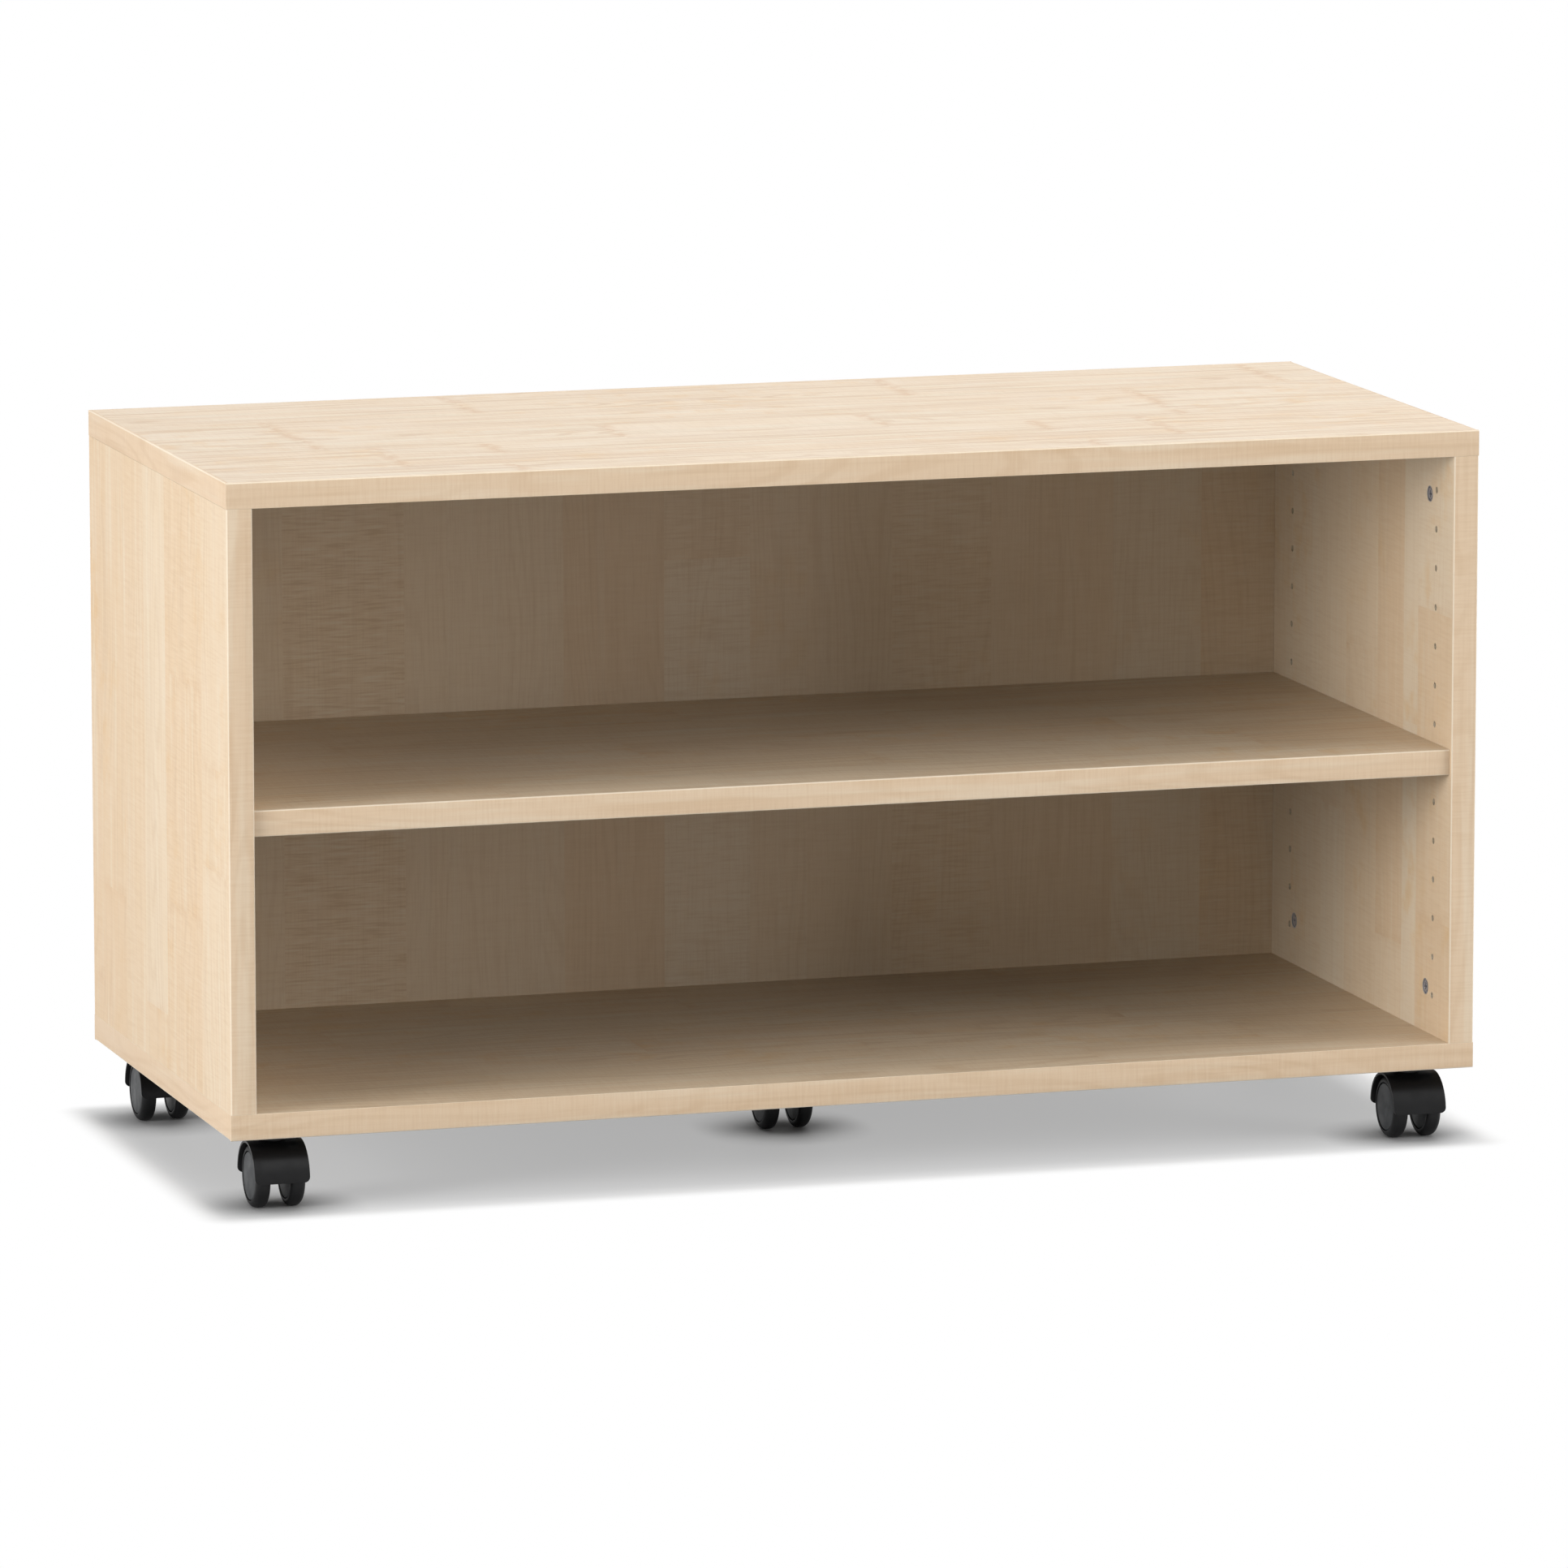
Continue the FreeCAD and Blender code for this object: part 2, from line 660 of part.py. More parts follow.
def axle(name, at):
    half = "(wheel_outer - hub_face_inset - hub_disc - axle_end_gap)"
    x, y, _ = at
    keep(rod(name, (f"{x} - {half}", f"{y} + {AXLE_Y}", AXLE_Z), X, "axle_diameter", f"2 * {half}"), name)


def wheel(name, at, sign):
    """A grey hub with a closed outer disc, and the black tyre round it."""
    x, y, _ = at
    centre = (x, f"{y} + {AXLE_Y}", AXLE_Z)
    face = "wheel_outer - hub_face_inset"
    rim = "hub_diameter / 2"
    bore = "(axle_diameter + running_play) / 2"
    inner = f"{WHEEL_INNER} + hub_face_inset"
    boss_end = "web_width / 2 + web_side_gap"
    hub = turned(f"{name}_hub", [
        (bore, boss_end),
        ("hub_boss / 2", boss_end),
        ("hub_boss / 2", inner),
        (f"{rim} - hub_chamfer", inner),
        (rim, f"{inner} + hub_chamfer"),
        (rim, f"{face} - hub_chamfer"),
        (f"{rim} - hub_chamfer", face),
        ("0", face),
        ("0", f"{face} - hub_disc"),
        (bore, f"{face} - hub_disc"),
    ])
    keep(place(hub, centre, along(X * sign)), f"{name}_hub")

    tread = "wheel_diameter / 2"
    seat = f"({rim} + fit_play / 2)"
    tyre = turned(f"{name}_tyre", [
        (seat, WHEEL_INNER), (tread, WHEEL_INNER), (tread, "wheel_outer"), (seat, "wheel_outer"),
    ])
    for radius, height in (("shoulder_outer", "wheel_outer"), ("shoulder_inner", WHEEL_INNER)):

        def shoulder(edge, height=height):
            point = edge.Vertexes[0].Point
            on_tread = near(math.hypot(point.x, point.y), number(tread))
            return edge.isClosed() and on_tread and near(point.z, number(height))

        rounded(tyre, tyre.Tip, radius, shoulder)
    keep(place(tyre, centre, along(X * sign)), f"{name}_tyre")


def caster_screw(name, at):
    shank = "screw_diameter / 2"
    body = turned(name, [
        ("0", "-screw_head_tall"),
        ("screw_head / 2 - screw_head_tall / 2", "-screw_head_tall"),
        ("screw_head / 2", "-screw_head_tall / 2"),
        ("screw_head / 2", "0"),
        (shank, "0"),
        (shank, "screw_long - screw_point"),
        ("0", "screw_long"),
    ])
    return place(body, at)


def casters():
    screws = []
    for spot_name, (x, y) in CASTERS.items():
        name = f"{spot_name}_caster"
        at = (x, y, "0")
        caster_plate(f"{name}_plate", at)
        kingpin(f"{name}_kingpin", at)
        caster_hood(f"{name}_hood", at)
        axle(f"{name}_axle", at)
        for side, sign in SIDES.items():
            wheel(f"{name}_{side}_wheel", at, sign)
        for corner, screw_at in enumerate(screw_spots(x, y, PLATE_LOW), start=1):
            screws.append(caster_screw(f"{name}_screw_{corner}", screw_at))
    group("caster_screws", screws)


# The whole unit
for side, sign in SIDES.items():
    side_panel(side, sign)
    side_panel_edging(side, sign)
flat_panel("bottom_panel", BASE, SIDE_LOW, 1)
flat_panel_edging("bottom_panel_edging", BASE, SIDE_LOW)
flat_panel("top_panel", SIDE_HIGH, SIDE_HIGH, -1)
flat_panel_edging("top_panel_edging", SIDE_HIGH, TOP)
back_panel()
shelf()
shelf_edging()
joint_fittings()
shelf_pins()
casters()
doc.recompute()

# Nothing is written unless every object is sound
for thing in doc.Objects:
    if "Invalid" in thing.State or "Error" in thing.State:
        raise RuntimeError(f"{thing.Label} did not build: {thing.State}")
for piece in pieces:
    if piece.Shape.isNull() or not piece.Shape.isValid():
        raise RuntimeError(f"{piece.Label} has no valid shape")

os.makedirs("parts", exist_ok=True)
for piece in pieces:
    piece.Shape.exportStep(f"parts/{piece.Label}.step")
print(len(pieces), "pieces written,", sum(len(piece.Shape.Solids) for piece in pieces), "solids")
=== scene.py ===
# %% [markdown]
# A rolling shelf unit in light maple board
#
# The unit is a low case of faced boards with one shelf, on five hooded twin-wheel casters. The
# solid model already holds every piece at its real size, so this lesson dresses it: the maple
# decor, the edging strips, the drilled holes, the cam locks and the moulded plastic of the
# casters. Blender works in metres and in the same frame as the solids: +X to the unit's right,
# +Y to its back, +Z up, with the origin on the floor.

# %% Load the solids
import math

import bmesh
import bpy
from mathutils import Euler, Matrix, Vector


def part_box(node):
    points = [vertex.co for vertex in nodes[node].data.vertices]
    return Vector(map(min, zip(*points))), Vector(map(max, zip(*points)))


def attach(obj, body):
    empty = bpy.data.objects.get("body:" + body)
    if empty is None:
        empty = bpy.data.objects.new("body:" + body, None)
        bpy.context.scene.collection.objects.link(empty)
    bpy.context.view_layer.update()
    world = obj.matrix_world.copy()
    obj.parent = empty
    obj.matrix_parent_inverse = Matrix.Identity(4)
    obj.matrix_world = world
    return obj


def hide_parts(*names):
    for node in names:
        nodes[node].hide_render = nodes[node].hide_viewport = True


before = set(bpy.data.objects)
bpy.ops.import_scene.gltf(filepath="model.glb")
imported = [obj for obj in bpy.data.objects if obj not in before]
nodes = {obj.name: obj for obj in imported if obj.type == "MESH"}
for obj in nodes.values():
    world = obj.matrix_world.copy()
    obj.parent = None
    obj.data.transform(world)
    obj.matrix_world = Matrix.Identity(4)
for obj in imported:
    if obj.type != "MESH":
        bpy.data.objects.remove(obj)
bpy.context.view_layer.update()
MM = 0.001
scene = bpy.context.scene

# %% [markdown]
# The camera stands a long way off with a long lens, as in a product picture, so the verticals
# stay almost parallel. It looks down a little from the left front. Its place was worked out from
# the corners of the case, and the lens is given by the picture's focal length in pixels, because
# that is what such a fit returns.

# %% Camera
PICTURE_PIXELS = 1932
FOCAL_PIXELS = 13981.5
CAMERA_AT = (-2.4432, -7.9015, 1.6475)
CAMERA_PITCH = 80.460
CAMERA_YAW = -17.206

camera_data = bpy.data.cameras.new("camera")
camera_data.sensor_width = 36
camera_data.lens = FOCAL_PIXELS / PICTURE_PIXELS * camera_data.sensor_width
camera_data.clip_end = 100
camera = bpy.data.objects.new("camera", camera_data)
camera.location = CAMERA_AT
camera.rotation_euler = Euler((math.radians(CAMERA_PITCH), 0, math.radians(CAMERA_YAW)))
scene.collection.objects.link(camera)
scene.camera = camera
print("camera lens", round(camera_data.lens, 1), "mm")

# %% [markdown]
# Materials are built from nodes. A few small helpers keep the node code short: one makes a node
# and fills its sockets, one sets or links a socket, and others do sums, mix two colours by a
# factor and stretch a range of values.


# %% Node helpers
def node(tree, kind, settings=None, **sockets):
    """A new node. Settings are its own properties, and sockets its inputs, by value or link."""
    made = tree.nodes.new(kind)
    for name, value in (settings or {}).items():
        setattr(made, name, value)
    for name, value in sockets.items():
        feed(tree, made.inputs[name.replace("_", " ")], value)
    return made


def feed(tree, socket, value):
    """Links a socket if the value is one, and sets it otherwise."""
    if isinstance(value, bpy.types.NodeSocket):
        tree.links.new(value, socket)
    else:
        socket.default_value = value


def math_node(tree, operation, first, second=0.0):
    made = node(tree, "ShaderNodeMath", {"operation": operation})
    feed(tree, made.inputs[0], first)
    feed(tree, made.inputs[1], second)
    return made.outputs[0]


def times_plus(tree, value, factor, start):
    """The value times a factor, plus a start."""
    made = math_node(tree, "MULTIPLY_ADD", value, factor)
    feed(tree, made.node.inputs[2], start)
    return made


def times(tree, *factors):
    product = factors[0]
    for factor in factors[1:]:
        product = math_node(tree, "MULTIPLY", product, factor)
    return product


def mix_colour(tree, factor, first, second):
    made = node(tree, "ShaderNodeMix", {"data_type": "RGBA"})
    for socket, value in zip((0, 6, 7), (factor, first, second)):
        feed(tree, made.inputs[socket], value)
    return made.outputs[2]


def stretch(tree, value, low, high, to_low=0.0, to_high=1.0):
    """Maps low to high onto another range, with soft ends."""
    made = node(tree, "ShaderNodeMapRange", {"interpolation_type": "SMOOTHSTEP"})
    for socket, number in zip(range(5), (value, low, high, to_low, to_high)):
        feed(tree, made.inputs[socket], number)
    return made.outputs[0]


def rgb(red, green, blue):
    """A colour in the 0 to 255 steps of a picture, as the linear light that shaders use."""
    linear = []
    for step in (red, green, blue):
        part = step / 255
        linear.append(part / 12.92 if part <= 0.04045 else ((part + 0.055) / 1.055) ** 2.4)
    return (*linear, 1.0)


def new_material(name):
    material = bpy.data.materials.new(name)
    material.use_nodes = True
    tree = material.node_tree
    return material, tree, tree.nodes["Principled BSDF"]


print("node helpers ready")

# %% [markdown]
# The boards carry a printed maple decor under a thin satin face. The print shows staves glued
# side by side and end to end: each has its own tone, and its grain starts afresh at every joint.
# An image could carry that, but it would have to be unwrapped and would repeat. Here the staves
# are laid out by a list for each board, and noise stretched along the grain draws the rest, on
# coordinates in millimetres.
#
# A layout lists the staves across the board: where each strip starts, up to two places along it
# where one stave ends and the next begins, and how much the strip shimmers across the grain. A
# colour ramp with hard steps carries the list: red is the strip's number, green and blue are its
# joints and alpha is the shimmer. A random number for each stave then shifts its tone and grain.

# %% Maple staves
CREAM = rgb(234, 210, 179)
PALE = rgb(239, 225, 202)
TAN = rgb(226, 190, 150)
FLAME = rgb(229, 195, 150)
FIBRE = rgb(204, 170, 132)
SAWN = rgb(206, 160, 112)
# Near white, painted as a highlight on the rounded corners of the edging
ARRIS_HIGHLIGHT = rgb(250, 239, 220)
# Reach of the layouts from the middle, along and across the board in mm, and a joint off the board
ALONG_HALF, ACROSS_HALF, FAR = 1000.0, 480.0, 990.0
MOST_STRIPS = 16.0
# What a stave's number grows by past the strip's first joint, and past its second
JOINT_STEPS = (20.0, 40.0)
STAVE_LAYOUTS = {
    # Start of the strip across the board, its two joints along the board, in mm, and its shimmer
    "top": [
        (-210, 217, FAR, 0.2), (-163, 292, FAR, 0.2), (-113, 208, 292, 0.2), (-63, 100, 330, 0.2),
        (8, 333, FAR, 0.2), (96, 169, 460, 0.2), (194, FAR, FAR, 0.2),
    ],
    "left": [
        (-210, 243, 318, 0.2), (-129, 200, 368, 0.3), (-25, 114, FAR, 0.1), (41, FAR, FAR, 0.2),
        (100, 180, FAR, 0.1), (166, 106, FAR, 0.1),
    ],
    "right": [
        (-210, 160, 390, 0.2), (-134, 300, FAR, 0.1), (-104, 130, FAR, 0.2),
        (-46, 340, FAR, 0.2), (20, 210, FAR, 0.2), (75, FAR, FAR, 0.3), (140, 280, FAR, 0.2),
    ],
    "back": [
        (-470, FAR, FAR, 0.2), (-330, FAR, FAR, 0.9), (-238, FAR, FAR, 0.1),
        (-205, FAR, FAR, 0.1), (-113, FAR, FAR, 0.1), (-34, 400, FAR, 0.4), (32, FAR, FAR, 0.2),
        (78, FAR, FAR, 0.1), (145, 396, FAR, 0.5), (224, FAR, FAR, 0.1), (320, FAR, FAR, 0.2),
        (391, FAR, FAR, 0.4),
    ],
    "flat": [
        (-210, -260, 190, 0.2), (-140, 40, 330, 0.2), (-62, -120, 260, 0.2),
        (14, -330, 110, 0.2), (88, -40, 380, 0.2), (150, -210, 220, 0.2),
    ],
    "one": [(-480, FAR, FAR, 0.2)],
}


def stave_numbers(tree, along, across, layout, seed):
    """Three random numbers for each stave, how far past its joints a place is, and its shimmer."""
    ramp = node(tree, "ShaderNodeValToRGB")
    steps = ramp.color_ramp.elements
    ramp.color_ramp.interpolation = "CONSTANT"
    steps.remove(steps[1])
    for number, (start, first, second, shimmer) in enumerate(layout):
        at = (start + ACROSS_HALF) / (2 * ACROSS_HALF)
        stop = steps.new(at) if number else steps[0]
        joints = [(joint + ALONG_HALF) / (2 * ALONG_HALF) for joint in (first, second)]
        stop.color = (number / MOST_STRIPS, *joints, shimmer)
    share = node(tree, "ShaderNodeMapRange", Value=across, From_Min=-ACROSS_HALF,
                 From_Max=ACROSS_HALF)
    feed(tree, ramp.inputs[0], share.outputs[0])
    parts = node(tree, "ShaderNodeSeparateColor", Color=ramp.outputs["Color"])
    stave = math_node(tree, "ROUND", times(tree, parts.outputs[0], MOST_STRIPS))
    past = []
    for joint, step in zip(parts.outputs[1:], JOINT_STEPS):
        place = times_plus(tree, joint, 2 * ALONG_HALF, -ALONG_HALF)
        past.append(math_node(tree, "SUBTRACT", along, place))
        passed = math_node(tree, "GREATER_THAN", past[-1], 0.0)
        stave = math_node(tree, "ADD", stave, times(tree, passed, step))
    random = node(tree, "ShaderNodeTexWhiteNoise", {"noise_dimensions": "1D"},
                  W=math_node(tree, "ADD", stave, seed * 100 + 0.5))
    return random.outputs["Color"], past, ramp.outputs["Alpha"]


print("stave layouts:", ", ".join(STAVE_LAYOUTS))

# %% [markdown]
# Within a stave there are long streaks, tan flames and pale patches, growth lines that follow the
# contours of a slow noise, fine fibres, and short ripples across the grain, strong where the
# strip shimmers. The saw leaves a tan mark across the end of a stave. A table gives each kind of
# mark its size, so that it can be changed without touching the nodes.

# %% Marks of the grain
FIGURE = {
    # Length and width of the mark in mm, the noise's detail, seed and roughness, and the noise
    # levels at which the mark starts to show and is full
    "streak": (240, 7, 3.0, 12, 0.55, 0.46, 0.72),
    "patch": (190, 10, 2.5, 2, 0.55, 0.50, 0.70),
    "gather": (150, 60, 1.0, 11, 0.55, 0.40, 0.62),
    "flame": (26, 22, 2.5, 1, 0.65, 0.46, 0.72),
    "ragged": (12, 14, 2.0, 13, 0.55, 0.36, 0.62),
    "line_fade": (140, 40, 1.0, 9, 0.55, 0.36, 0.60),
    "fibre": (30, 0.8, 3.0, 3, 0.55, 0.42, 0.78),
}
# How far one step of the seed moves the noise along each axis, in features
SEED_STEP = (7.3, 3.1, 5.7)


def grain_noise(tree, place, along, across, detail, seed, rough=0.55):
    """Noise whose features are along mm long and across mm wide."""
    shift = node(tree, "ShaderNodeMapping", Vector=place)
    shift.inputs["Location"].default_value = [seed * step for step in SEED_STEP]
    shift.inputs["Scale"].default_value = (1 / along, 1 / across, 1 / across)
    noise = node(tree, "ShaderNodeTexNoise", Vector=shift.outputs[0], Scale=1.0, Detail=detail,
                 Roughness=rough)
    return noise.outputs["Fac"]


def mark(tree, place, kind):
    """How strongly a kind of mark shows at a place, from 0 to 1."""
    along, across, detail, seed, rough, low, high = FIGURE[kind]
    return stretch(tree, grain_noise(tree, place, along, across, detail, seed, rough), low, high)


def lay(tree, colour, over, *factors):
    """Lays one colour over another, as strongly as the product of the factors."""
    return mix_colour(tree, times(tree, *factors), colour, over)


print("marks of the grain:", ", ".join(FIGURE))

# %% [markdown]
# A board's print runs along one axis, so the coordinates are sorted into along, across and
# through the board. On the top the print is mirrored about a line near the middle. Each stave's
# grain is then taken from another, far part of the noise, so that it doesn't run on past a joint.

# %% Places on a board
STAVE_JUMP = 900.0


def board_axes(tree, grain, mirror_at):
    """Where a place lies along, across and through a board, in mm."""
    point = node(tree, "ShaderNodeTexCoord").outputs["Object"]
    where = node(tree, "ShaderNodeMapping", Vector=point)
    where.inputs["Scale"].default_value = (1000, 1000, 1000)
    x, y, z = node(tree, "ShaderNodeSeparateXYZ", Vector=where.outputs[0]).outputs
    axes = {"x": (x, y, z), "y": (y, x, z), "z_on_side": (z, y, x), "z_on_back": (z, x, y)}
    along, across, through = axes[grain]
    if mirror_at is not None:
        along = math_node(tree, "ABSOLUTE", math_node(tree, "SUBTRACT", along, mirror_at))
    return along, across, through


def moved_by_stave(tree, place, numbers):
    """A place, moved by up to the stave's jump in mm along each axis."""
    jump = node(tree, "ShaderNodeVectorMath", {"operation": "SCALE"}, Scale=STAVE_JUMP)
    feed(tree, jump.inputs[0], numbers)
    moved = node(tree, "ShaderNodeVectorMath", {"operation": "ADD"})
    feed(tree, moved.inputs[0], place)
    feed(tree, moved.inputs[1], jump.outputs[0])
    return moved.outputs[0]


print("a stave's grain moves by up to", STAVE_JUMP, "mm")

# %% [markdown]
# The broad marks come first: the stave's own tone, long streaks, flames and the saw's marks. They
# could be painted, but noise gives every board its own in the same manner.

# %% Broad marks
SAW_MARK = 11.0
# How much tan or pale a stave takes at most, before the board's own share of tone
TAN_MOST, PALE_MOST = 0.5, 0.6


def broad_marks(tree, cream, board, place, tone, kind, past, strength):
    """The stave's tone, streaks, patches and flames, and the saw's marks at its ends."""
    # From a pale grey cream to a warm tan
    share = strength["tone_share"]
    colour = lay(tree, cream, TAN, stretch(tree, tone, 0.35, 1.0), TAN_MOST * share)
    colour = lay(tree, colour, PALE, stretch(tree, tone, 0.45, 0.0), PALE_MOST * share)
    # Long streaks, darker and paler
    colour = lay(tree, colour, FIBRE, mark(tree, board, "streak"), strength["streaks"])
    colour = lay(tree, colour, PALE, mark(tree, board, "patch"), strength["pale"])
    # Tan flames that gather in some places, on some staves
    flame = times(tree, mark(tree, board, "flame"), stretch(tree, kind, 0.25, 0.60))
    colour = lay(tree, colour, FLAME, flame, mark(tree, board, "gather"), strength["flames"])
    ragged = mark(tree, place, "ragged")
    for distance in past:
        near = stretch(tree, math_node(tree, "ABSOLUTE", distance), SAW_MARK, 0.0)
        colour = lay(tree, colour, SAWN, near, ragged, strength["ends"])
    return colour


print("the saw's mark is", SAW_MARK, "mm long")

# %% [markdown]
# The fine marks are growth lines, fibres and ripples. A growth line is where a wave across the
# board is at its height, and a slow noise bends the wave, so the lines flow as in sawn wood.

# %% Fine marks
# Growth lines: their spacing in mm, how many lines the slow noise bends them by, and their lean
LINE_PITCH, LINE_BEND, LINE_LEAN = 8.0, 11.0, 0.12
# How strong the ripples are on every strip, and how much the shimmer adds
RIPPLE_BASE, RIPPLE_SHIMMER = 0.05, 0.45


def fine_marks(tree, colour, board, along, across, slant, shimmer, strength):
    """Growth lines, fibres along the grain, and ripples across it."""
    slow = grain_noise(tree, board, along=330, across=46, detail=1.0, seed=8)
    lean = times(tree, math_node(tree, "SUBTRACT", slant, 0.5), along, LINE_LEAN)
    straight = math_node(tree, "DIVIDE", math_node(tree, "ADD", across, lean), LINE_PITCH)
    line_at = math_node(tree, "ADD", straight, times(tree, slow, LINE_BEND))
    wave = math_node(tree, "SINE", times(tree, line_at, 2 * math.pi))
    line = times(tree, stretch(tree, wave, 0.1, 1.0), mark(tree, board, "line_fade"))
    colour = lay(tree, colour, FIBRE, line, strength["lines"])
    colour = lay(tree, colour, FIBRE, mark(tree, board, "fibre"), strength["fibres"])
    # Short ripples across the grain, dark and light
    ripple = grain_noise(tree, board, along=1.7, across=26, detail=2.5, seed=4)
    rippled = times_plus(tree, shimmer, RIPPLE_SHIMMER, RIPPLE_BASE)
    colour = lay(tree, colour, FIBRE, stretch(tree, ripple, 0.46, 0.70), rippled)
    return lay(tree, colour, PALE, stretch(tree, ripple, 0.48, 0.28), rippled)


print("growth lines every", LINE_PITCH, "mm")

# %% [markdown]
# The face of the decor is satin: its gloss is slightly smeared, and fine pores give it a faint
# bump. A highlight is painted on the trimmed corners of the edging, whose colour turns paler.
# There the surface faces along none of the three axes, which a few sums on the normal find.

# %% Satin face and painted highlight on the corners
SATIN_ROUGHNESS = (0.36, 0.50)
PORE_STRENGTH, PORE_DEPTH = 0.10, 0.2 * MM


# Paints a highlight: the colour turns paler where the surface faces along none of the axes
def painted_arris_highlight(tree, colour, arris):
    facing = node(tree, "ShaderNodeVectorMath", {"operation": "ABSOLUTE"})
    feed(tree, facing.inputs[0], node(tree, "ShaderNodeNewGeometry").outputs["True Normal"])
    x, y, z = node(tree, "ShaderNodeSeparateXYZ", Vector=facing.outputs[0]).outputs
    squarest = math_node(tree, "MAXIMUM", x, math_node(tree, "MAXIMUM", y, z))
    return lay(tree, colour, ARRIS_HIGHLIGHT, stretch(tree, squarest, 0.99, 0.90), arris)


def satin(tree, shader, place, gloss):
    shader.inputs["Specular IOR Level"].default_value = gloss
    smear = grain_noise(tree, place, along=60, across=25, detail=3.0, seed=6)
    feed(tree, shader.inputs["Roughness"], stretch(tree, smear, 0.2, 0.8, *SATIN_ROUGHNESS))
    pores = grain_noise(tree, place, along=1.6, across=0.5, detail=2.0, seed=7)
    bump = node(tree, "ShaderNodeBump", Strength=PORE_STRENGTH, Distance=PORE_DEPTH, Height=pores)
    feed(tree, shader.inputs["Normal"], bump.outputs[0])


print("satin roughness from", *SATIN_ROUGHNESS)

# %% [markdown]
# One function now makes any board from its grain's axis, its layout, a seed and its cream. What a
# board has more or less of than usual is named where the board is made.

# %% Maple boards
USUAL_STRENGTHS = {
    "tone_share": 0.5, "flames": 0.7, "pale": 0.4, "lines": 0.3, "streaks": 0.3, "fibres": 0.1,
    "ends": 0.15, "gloss": 0.25, "arris": 0.0,
}


def maple(name, grain, layout, seed, cream=CREAM, mirror_at=None, **own):
    """A maple board. Own gives the strengths that differ from the usual ones."""
    material, tree, shader = new_material(name)
    strength = {**USUAL_STRENGTHS, **own}
    along, across, through = board_axes(tree, grain, mirror_at)
    numbers, past, shimmer = stave_numbers(tree, along, across, STAVE_LAYOUTS[layout], seed)
    tone, kind, slant = node(tree, "ShaderNodeSeparateColor", Color=numbers).outputs
    place = node(tree, "ShaderNodeCombineXYZ", X=along, Y=across, Z=through).outputs[0]
    board = moved_by_stave(tree, place, numbers)
    colour = broad_marks(tree, cream, board, place, tone, kind, past, strength)
    colour = fine_marks(tree, colour, board, along, across, slant, shimmer, strength)
    # A highlight painted on the rounded corners, on the boards that have one
    if strength["arris"]:
        colour = painted_arris_highlight(tree, colour, strength["arris"])
    feed(tree, shader.inputs["Base Color"], colour)
    satin(tree, shader, place, strength["gloss"])
    return material


MAPLE = {
    # The top's cream is paler than the usual one: a painted sheen that whitens its face
    "top": maple(
        "maple_top", "x", "top", 303.0, rgb(237, 217, 191), mirror_at=-34.0, tone_share=0.3,
        pale=0.7, lines=0.5, streaks=0.65, fibres=0.18, ends=0.5, gloss=0.62,
    ),
    "shelf": maple("maple_shelf", "x", "flat", 2.0, tone_share=0.25),
    "bottom": maple("maple_bottom", "x", "flat", 3.0, tone_share=0.25),
    "left": maple(
        "maple_left_side", "z_on_side", "left", 113.0, rgb(232, 206, 173), tone_share=0.6,
        flames=0.8, lines=0.18, streaks=0.15, gloss=0.1,
    ),
    "right": maple(
        "maple_right_side", "z_on_side", "right", 1561.0, tone_share=0.75, pale=0.25, lines=0.08,
        streaks=0.1,
    ),
    "back": maple(
        "maple_back", "z_on_back", "back", 493.0, flames=0.3, pale=0.12, lines=0.12, streaks=0.1,
        fibres=0.22,
    ),
}
EDGING_RUNS = (("x", "x", 42.0, 0.2), ("y", "y", 46.0, 0.4), ("z", "z_on_side", 59.0, 0.2))
# Edging strips get a painted highlight on their rounded corners
for run, grain, seed, tone_share in EDGING_RUNS:
    MAPLE[f"edge_{run}"] = maple(
        f"maple_edging_{run}", grain, "one", seed, rgb(231, 207, 178), tone_share=tone_share,
        flames=0.35, lines=0.2, gloss=0.12, arris=0.6,
    )
print("maple finishes:", ", ".join(MAPLE))

# %% [markdown]
# The caster parts are moulded nylon. A mould leaves a very fine matt texture, so the roughness
# changes a little from place to place and a tiny bump breaks up the highlight. The wheels' discs
# are the same plastic in dark grey, with a black tread round them. Zinc, steel, beech and raw
# chipboard have a fine random grain too, so one function makes them all.

# %% Plastic, rubber, metal and raw board
# How much broader the broad grain is than the fine one, and how far it shifts the roughness
BROADER, ROUGHNESS_SHIFT = 30, 0.06
SPECKLE_DEPTH = 0.1 * MM


def speckled(name, colour, dark, roughness, grain_mm, bump, metallic=0.0, level=0.5):
    """A surface with a fine random grain, and a broad one that shifts colour and roughness."""
    material, tree, shader = new_material(name)
    where = node(tree, "ShaderNodeTexCoord").outputs["Object"]
    fine, broad = (
        node(tree, "ShaderNodeTexNoise", Vector=where, Scale=1000 / size, Detail=3.0)
        for size in (grain_mm, grain_mm * BROADER)
    )
    share = stretch(tree, broad.outputs["Fac"], 0.35, 0.70)
    feed(tree, shader.inputs["Base Color"], mix_colour(tree, share, colour, dark))
    spread = (roughness - ROUGHNESS_SHIFT, roughness + ROUGHNESS_SHIFT)
    feed(tree, shader.inputs["Roughness"], stretch(tree, broad.outputs["Fac"], 0.3, 0.7, *spread))
    shader.inputs["Metallic"].default_value = metallic
    shader.inputs["Specular IOR Level"].default_value = level
    lift = node(tree, "ShaderNodeBump", Strength=bump, Distance=SPECKLE_DEPTH,
                Height=fine.outputs["Fac"])
    feed(tree, shader.inputs["Normal"], lift.outputs[0])
    return material


